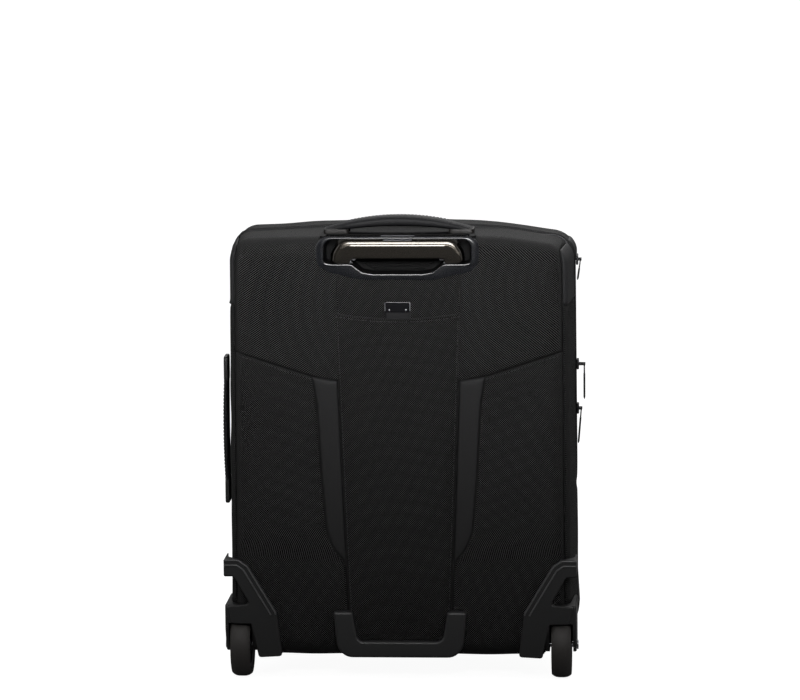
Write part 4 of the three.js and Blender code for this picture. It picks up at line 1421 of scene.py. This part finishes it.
def skid():
    """The guard low on the back: two arms and a bar."""
    low, high = box("rear_skid")
    outer = [(77, high[2], 3.5), (71.5, low[2], 20)]
    inner = [(54.5, high[2], 3.5), (48.5, 47.5, 8)]
    loop = rounded(both_halves(outer) + both_halves(inner)[::-1], 8)
    sag = 1.6 * np.clip(1 - (loop[:, 0] / 60) ** 2, 0, 1) * (loop[:, 1] < 40)
    loop[:, 1] += sag
    obj = stacked("skid_guard", round_over(loop, low[1], SKID_BACK, 3.2, 5), "case", SKID)
    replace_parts(obj, "rear_skid")


def soften(node, finish, width, segments=2, degrees=28):
    """A CAD node kept as it is, with its edges rounded and a finish."""
    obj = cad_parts[node]
    obj.data.materials.clear()
    obj.data.materials.append(finish)
    obj.data.polygons.foreach_set("use_smooth", [True] * len(obj.data.polygons))
    weld = obj.modifiers.new("weld", "WELD")
    weld.merge_threshold = 0.01 * MM
    if width:
        bevel = obj.modifiers.new("edges", "BEVEL")
        bevel.width = width * MM
        bevel.segments = segments
        bevel.limit_method = "ANGLE"
        bevel.angle_limit = math.radians(degrees)
        bevel.use_clamp_overlap = True
    return normals_by_area(obj)


RIDGE_Y = -94.9


def housings():
    """The wheel housings, with the two ridges that run along the arm's outer edge, coloured paler than the
    housing as a painted highlight.
    """
    ridge = rounded([(202.2, 142), (185, 142, 8), (174.6, 134.5, 9), (142, 80, 8), (141, 66)], 6)
    for side, sign in SIDES:
        soften("wheel_housing_" + side, MOULDED, 0.3, degrees=38)
        for name, offset in (("outer", 1.0), ("inner", 6.6)):
            ends = ridge[:-1] if name == "outer" else ridge[:-2]
            ahead = unit(np.gradient(ends, axis=0))
            inward = np.stack([-ahead[:, 1], ahead[:, 0]], 1)
            line = ends + inward * offset
            path = points(sign * line[:, 0], RIDGE_Y, line[:, 1])
            path = resampled(path, 2.0)
            tube("housing_ridge_%s_%s" % (name, side), path, 0.9, "case", RIDGE_HIGHLIGHT, sides=8,
                 up=(0, 1, 0))


# ---- Carry handles and tag ----


def padded_handle(name, half, pad, width, strap, rise, thick, end_thick, body, node, place):
    """A padded grip on two webbing ends, along x in its own frame, with up as +z; place moves it."""
    count = 90
    x = np.linspace(-half, half, count)
    share = np.abs(x) / half
    padding = 1 / (1 + np.exp((np.abs(x) - pad - 1) / 1.6))
    over = lambda s: rise + thick - (rise + thick - end_thick) * s**2
    under = lambda s: rise * (1 - s**2)
    thickness = over(share) - under(share) - 0.5 * (1 - padding)
    arch = under(share)
    breadth = strap + (width - strap) * (0.35 + 0.65 * padding)
    sides = 28
    angles = np.arange(sides) * 2 * math.pi / sides
    power = 0.62
    across = np.sign(np.cos(angles)) * np.abs(np.cos(angles)) ** power
    up = np.sign(np.sin(angles)) * np.abs(np.sin(angles)) ** power
    middle = arch + thickness / 2
    grid = points(x[:, None], breadth[:, None] / 2 * across, middle[:, None] + thickness[:, None] / 2 * up)
    seam = np.exp(-(((np.abs(across) - 0.8) / 0.06) ** 2)) * padding[:, None] * 0.45
    grid[..., 2] -= seam * np.sign(up)
    grid = placed(grid, place)
    rows = np.arange(count * sides).reshape(count, sides)
    index = np.concatenate([rows, rows[:, :1]], 1)
    faces = quads_along(index)
    faces += [rows[0].tolist(), rows[-1][::-1].tolist()]
    uv = np.stack(np.broadcast_arrays(np.linspace(0, 2 * width, sides)[None], (x + half)[:, None]), -1)
    obj = piece(name, grid.reshape(-1, 3), faces, body, HANDLE_SKIN, uv=uv.reshape(-1, 2))
    face_outwards(obj)
    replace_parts(obj, node)
    lift = np.array([0, 0, 1.0]) @ np.array(place.to_3x3()).T
    for k, sign in enumerate((1, -1)):
        inside = x[np.abs(x) < pad - 2]
        line = points(inside, sign * width * 0.36, over(np.abs(inside) / half) - 0.5)
        stitches("%s_stitches_%d" % (name, k), placed(line, place), lift, body, "trim_pu")
        strap_x = np.linspace(pad + 5, half - 4, 8)
        strap_z = over(strap_x / half) - 0.7
        for j, side in enumerate((1, -1)):
            line = placed(points(side * strap_x, sign * strap * 0.36, strap_z), place)
            stitches("%s_strap_stitches_%d%d" % (name, k, j), line, lift, body, "webbing", 3.2, 2.2)


def carry_handles():
    low, high = box("top_carry_handle")
    middle_y = (low[1] + high[1]) / 2
    place = Matrix.Translation((0, middle_y, low[2]))
    padded_handle("top_handle_pad", 84, 62, high[1] - low[1], 24, high[2] - low[2] - 12.0, 12.0, 5.5,
                  "top_handle", "top_carry_handle", place)
    low, high = box("side_carry_handle")
    place = Matrix.Translation((high[0] + 2.0, (low[1] + high[1]) / 2, (low[2] + high[2]) / 2))
    place = place @ Matrix.Rotation(-math.pi / 2, 4, "Y")
    padded_handle("side_handle_pad", 82, 60, high[1] - low[1], 22, 0.5, 6.2, 3.8,
                  "side_handle", "side_carry_handle", place)
    for node in ("carry_handle_base_left", "carry_handle_base_right"):
        soften(node, BASE, 0.5)
    for node in ("side_handle_base_upper", "side_handle_base_lower"):
        soften(node, MOULDED, 0.5)


def address_tag():
    low, high = box("tag_plate")
    plate = slab("tag_badge", upright(low, high, 2.2), (high[1], low[1]), 0.7, "address_tag", GLOSS, steps=5)
    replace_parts(plate, "tag_plate")
    for side, sign in SIDES:
        x = sign * (high[0] - 1.0)
        edge = points(x, low[1] - 0.1, np.linspace(low[2] + 1.4, high[2] - 1.4, 10))
        tube("tag_edge_" + side, edge, 0.55, "address_tag", STEEL, sides=8, up=(0, 1, 0))
    places = np.array([[sign * 9.5, low[1] - 0.1, low[2] + 2.6] for sign in (1, -1)])
    lifts = np.broadcast_to(np.array([0.0, 0.0, 1.0]), places.shape)
    ahead = np.broadcast_to(np.array([0.0, -1.0, 0.0]), places.shape)
    beads("tag_rivets", places, ahead, lifts, 1.4, 2.2, 2.2, "address_tag", STEEL)
    low, high = box("tag_tab")
    z = np.linspace(low[2], high[2], 12)[:, None]
    x = np.linspace(low[0], high[0], 12)
    grid = points(x, low[1], z + 0 * x)
    tab = sheet("tag_flap", grid, "address_tag", HANDLE_SKIN, thickness=0.6)
    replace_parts(tab, "tag_tab")


# ---- Sliders and pullers ----


def zip_pulls():
    """The sliders and pullers on the right side, then those of the front pockets."""
    for prefix in ("main_upper", "main_lower", "expansion"):
        slider_piece(prefix, facing="x")
    for prefix in ("upper_pocket", "lower_pocket"):
        slider_piece(prefix, facing="y")


LEAN = {"main_lower": 3.4, "expansion": 3.4}  # how far a hanging puller's tip leans to the wall


def slider_piece(prefix, facing):
    """A slider kept from the CAD, with a flat puller that has a moulded grip."""
    soften(prefix + "_slider", ZIP_METAL, 0.35)
    low, high = box(prefix + "_puller")
    height, depth = (0, 1) if facing == "x" else (1, 0)
    centre = (low + high) / 2
    eye_z = high[2] - 2.2
    tip = low[2]
    half = (high[depth] - low[depth]) / 2
    a = centre[depth]
    corners = [(a - 2.2, eye_z + 1.8, 1.2), (a - half, eye_z - 8, 3), (a - half, tip, 2.8)]
    corners += [(a + half, tip, 2.8), (a + half, eye_z - 8, 3), (a + 2.2, eye_z + 1.8, 1.2)]
    face = centre[height]
    span = (face - 0.8, face + 0.8)
    lean = LEAN.get(prefix, 0) / (eye_z - tip)
    hang = Matrix(((1, 0, lean, -lean * eye_z), (0, 1, 0, 0), (0, 0, 1, 0), (0, 0, 0, 1)))
    plane = "yz" if facing == "x" else "xz"
    body = prefix + "_puller"
    obj = slab(prefix + "_pull_tab", corners, span, 0.7, body, ZIP_METAL, plane=plane, steps=4,
               transform=hang)
    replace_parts(obj, prefix + "_puller")
    grip_corners = [(a - half + 1.3, eye_z - 11, 1.5), (a - half + 1.3, tip + 1.5, 1.8)]
    grip_corners += [(a + half - 1.3, tip + 1.5, 1.8), (a + half - 1.3, eye_z - 11, 1.5)]
    slab(prefix + "_pull_grip", grip_corners, (face - 1.1, face + 1.1), 0.5, body, MOULDED,
         plane=plane, steps=4, transform=hang)


# ---- Inside ----


def face_grid(inset, y, rows=50, cols=50):
    z = np.linspace(BOTTOM + inset, TOP - CROWN - inset, rows)[:, None]
    share = np.linspace(-1, 1, cols)
    return points(share * half_width(z, inset), y, z + 0 * share)


def inside():
    """The linings. The tub's, with a binding at its mouth, stands for the hoop sewn into it."""
    low, _ = box("divider_lining")
    grid = drawn_in(face_grid(5.0, low[1]))
    grid = upholstered(grid, 0.0, 0.0, seed=41, uneven=1.0, outward=(0, -300, 270))
    cover = sheet("divider_cloth", grid, "case", LINING, thickness=0.6, outward=(0, -300, 270), drop=in_well)
    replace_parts(cover, "divider_lining")
    ys = np.linspace(low[1], TUB_RIM - 0.5, 16)
    wall = band("wall_lining", np.full(16, 4.2), ys, "case", LINING, shape=drawn_in, thickness=0.5,
                drop=in_well)
    tube("mouth_binding", loop_at(5.4, box("opening_hoop")[0][1] + 1.5), 1.7, "case", WEBBING,
         closed=True, up=(0, 1, 0))
    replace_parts(wall, "opening_hoop")
    low, _ = box("lid_lining")
    grid = upholstered(face_grid(5.0, low[1]), 0.0, 0.0, seed=43, uneven=1.0, outward=(0, 300, 270))
    cover = sheet("lid_lining_cloth", grid, "lid", LINING, thickness=0.6, outward=(0, 300, 270))
    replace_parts(cover, "lid_lining")
    straps()


def straps():
    for side, sign in SIDES:
        low, high = box("tie_strap_right")
        x = np.linspace(low[0], high[0], 60)
        z = np.linspace(low[2], high[2], 9)[:, None]
        y = high[1] + 0.8 * np.sin(x / 26)
        grid = points(x, y + 0 * z, z + 0 * x) * np.array([sign, 1, 1])
        strap = sheet("packing_strap_" + side, grid, "case", WEBBING, thickness=1.2,
                      outward=(0, -300, 270))
        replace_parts(strap, "tie_strap_" + side)
    low, high = box("tie_buckle")
    buckle = slab("strap_buckle", upright(low, high, 5), (low[1], high[1]), 1.4, "case", MOULDED)
    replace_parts(buckle, "tie_buckle")


def plain_nodes():
    """CAD nodes whose own shape is right: they only get rounded edges and a finish."""
    for side in ("left", "right"):
        for stage in ("outer", "middle", "inner"):
            soften("%s_tube_%s" % (stage, side), ALUMINIUM, 0)
        soften("push_rod_" + side, STEEL, 0.3)
        soften("axle_" + side, STEEL, 0.3)
        soften("front_foot_" + side, MOULDED, 0.8)
    soften("tube_foot_bracket", BOARD, 0.5)
    soften("back_board", BOARD, 0)
    soften("address_card", CARD, 0)


# ---- Stage, in metres ----

FLOOR_HALF = 12.0


def area_light(name, position, aim, width, height, power):
    lamp = bpy.data.lights.new(name, "AREA")
    lamp.shape = "RECTANGLE"
    lamp.size, lamp.size_y = width, height
    lamp.energy = power
    obj = linked(name, lamp)
    obj.location = position
    obj.rotation_euler = (Vector(aim) - Vector(position)).to_track_quat("-Z", "Y").to_euler()
    return obj


def stage():
    """A plain pale floor, soft lights round the case, and a white world."""
    mesh = bpy.data.meshes.new("floor")
    half = FLOOR_HALF
    corners = [(-half, -half, 0), (half, -half, 0), (half, half, 0), (-half, half, 0)]
    mesh.from_pydata(corners, [], [(0, 1, 2, 3)])
    floor = linked("floor", mesh)
    mesh.materials.append(floor_paint())

    world = bpy.data.worlds.new("studio")
    bpy.context.scene.world = world
    world.use_nodes = True
    nodes, links = world.node_tree.nodes, world.node_tree.links
    background = nodes["Background"]
    background.inputs[0].default_value = (1, 1, 1, 1)
    ray = nodes.new("ShaderNodeLightPath")
    direction = nodes.new("ShaderNodeSeparateXYZ")
    links.new(nodes.new("ShaderNodeTexCoord").outputs["Generated"], direction.inputs[0])
    softbox = nodes.new("ShaderNodeMapRange")
    softbox.interpolation_type = "SMOOTHSTEP"
    for value, socket in zip((0.25, 0.65, 0.02, 0.45), softbox.inputs[1:5]):
        socket.default_value = value
    links.new(direction.outputs[2], softbox.inputs[0])
    strength = nodes.new("ShaderNodeMapRange")
    strength.inputs[4].default_value = 1.25
    links.new(ray.outputs["Is Camera Ray"], strength.inputs[0])
    links.new(softbox.outputs[0], strength.inputs[3])
    links.new(strength.outputs[0], background.inputs[1])

    key = area_light("key", (0.1, -1.5, 1.05), (0, -0.09, 0.80), 0.9, 0.4, 6.0)
    key.data.spread = math.radians(57)
    area_light("left_strip", (-1.5, -0.7, 0.8), (0, 0, 0.4), 0.3, 1.3, 3.2)
    area_light("right_strip", (1.5, -0.7, 0.8), (0, 0, 0.4), 0.3, 1.3, 2.4)
    area_light("front_fill", (0.3, 1.8, 1.6), (0, 0, 0.35), 1.6, 1.2, 12)


def floor_paint():
    """White paint that also glows a little for the camera, so that the floor meets the white world."""
    f = Finish("floor_paint")
    f.set(color=(0.25, 0.25, 0.25), roughness=0.9, specular=0.1)
    seen = f.node("ShaderNodeLightPath").outputs["Is Camera Ray"]
    f.link(f.math("MULTIPLY", seen, 0.95), f.shader.inputs["Emission Strength"])
    f.link((1, 1, 1, 1), f.shader.inputs["Emission Color"])
    return f.material


def camera():
    """The photograph's viewing angle: from behind, a little from the right and from above."""
    distance = 5.0
    azimuth, elevation, tilt = math.radians(3.7), math.radians(7.99), math.radians(0.49)
    target = Vector((0.0022, BACK * MM, 0.3838))
    level = math.cos(elevation)
    away = Vector((math.sin(azimuth) * level, -math.cos(azimuth) * level, math.sin(elevation)))
    data = bpy.data.cameras.new("view")
    data.sensor_width = 36.0
    data.lens = 197.7
    obj = linked("view", data)
    look = (-away).to_track_quat("-Z", "Y").to_matrix().to_4x4()
    obj.matrix_world = Matrix.Translation(target + away * distance) @ look @ Matrix.Rotation(-tilt, 4, "Z")
    bpy.context.scene.camera = obj
    bpy.context.scene.view_settings.view_transform = "Standard"


upper_back()
lower_back()
strips()
centre_panels()
back_stitching()
sides()
corner_trims()
tub_bottom()
expansion_zone()
lid()
pocket("upper_pocket", "upper_pocket_panel")
pocket("lower_pocket", "lower_pocket_panel")
bezel()
grip()
release_button()
wheels()
skid()
housings()
carry_handles()
address_tag()
zip_pulls()
inside()
plain_nodes()
stage()
camera()
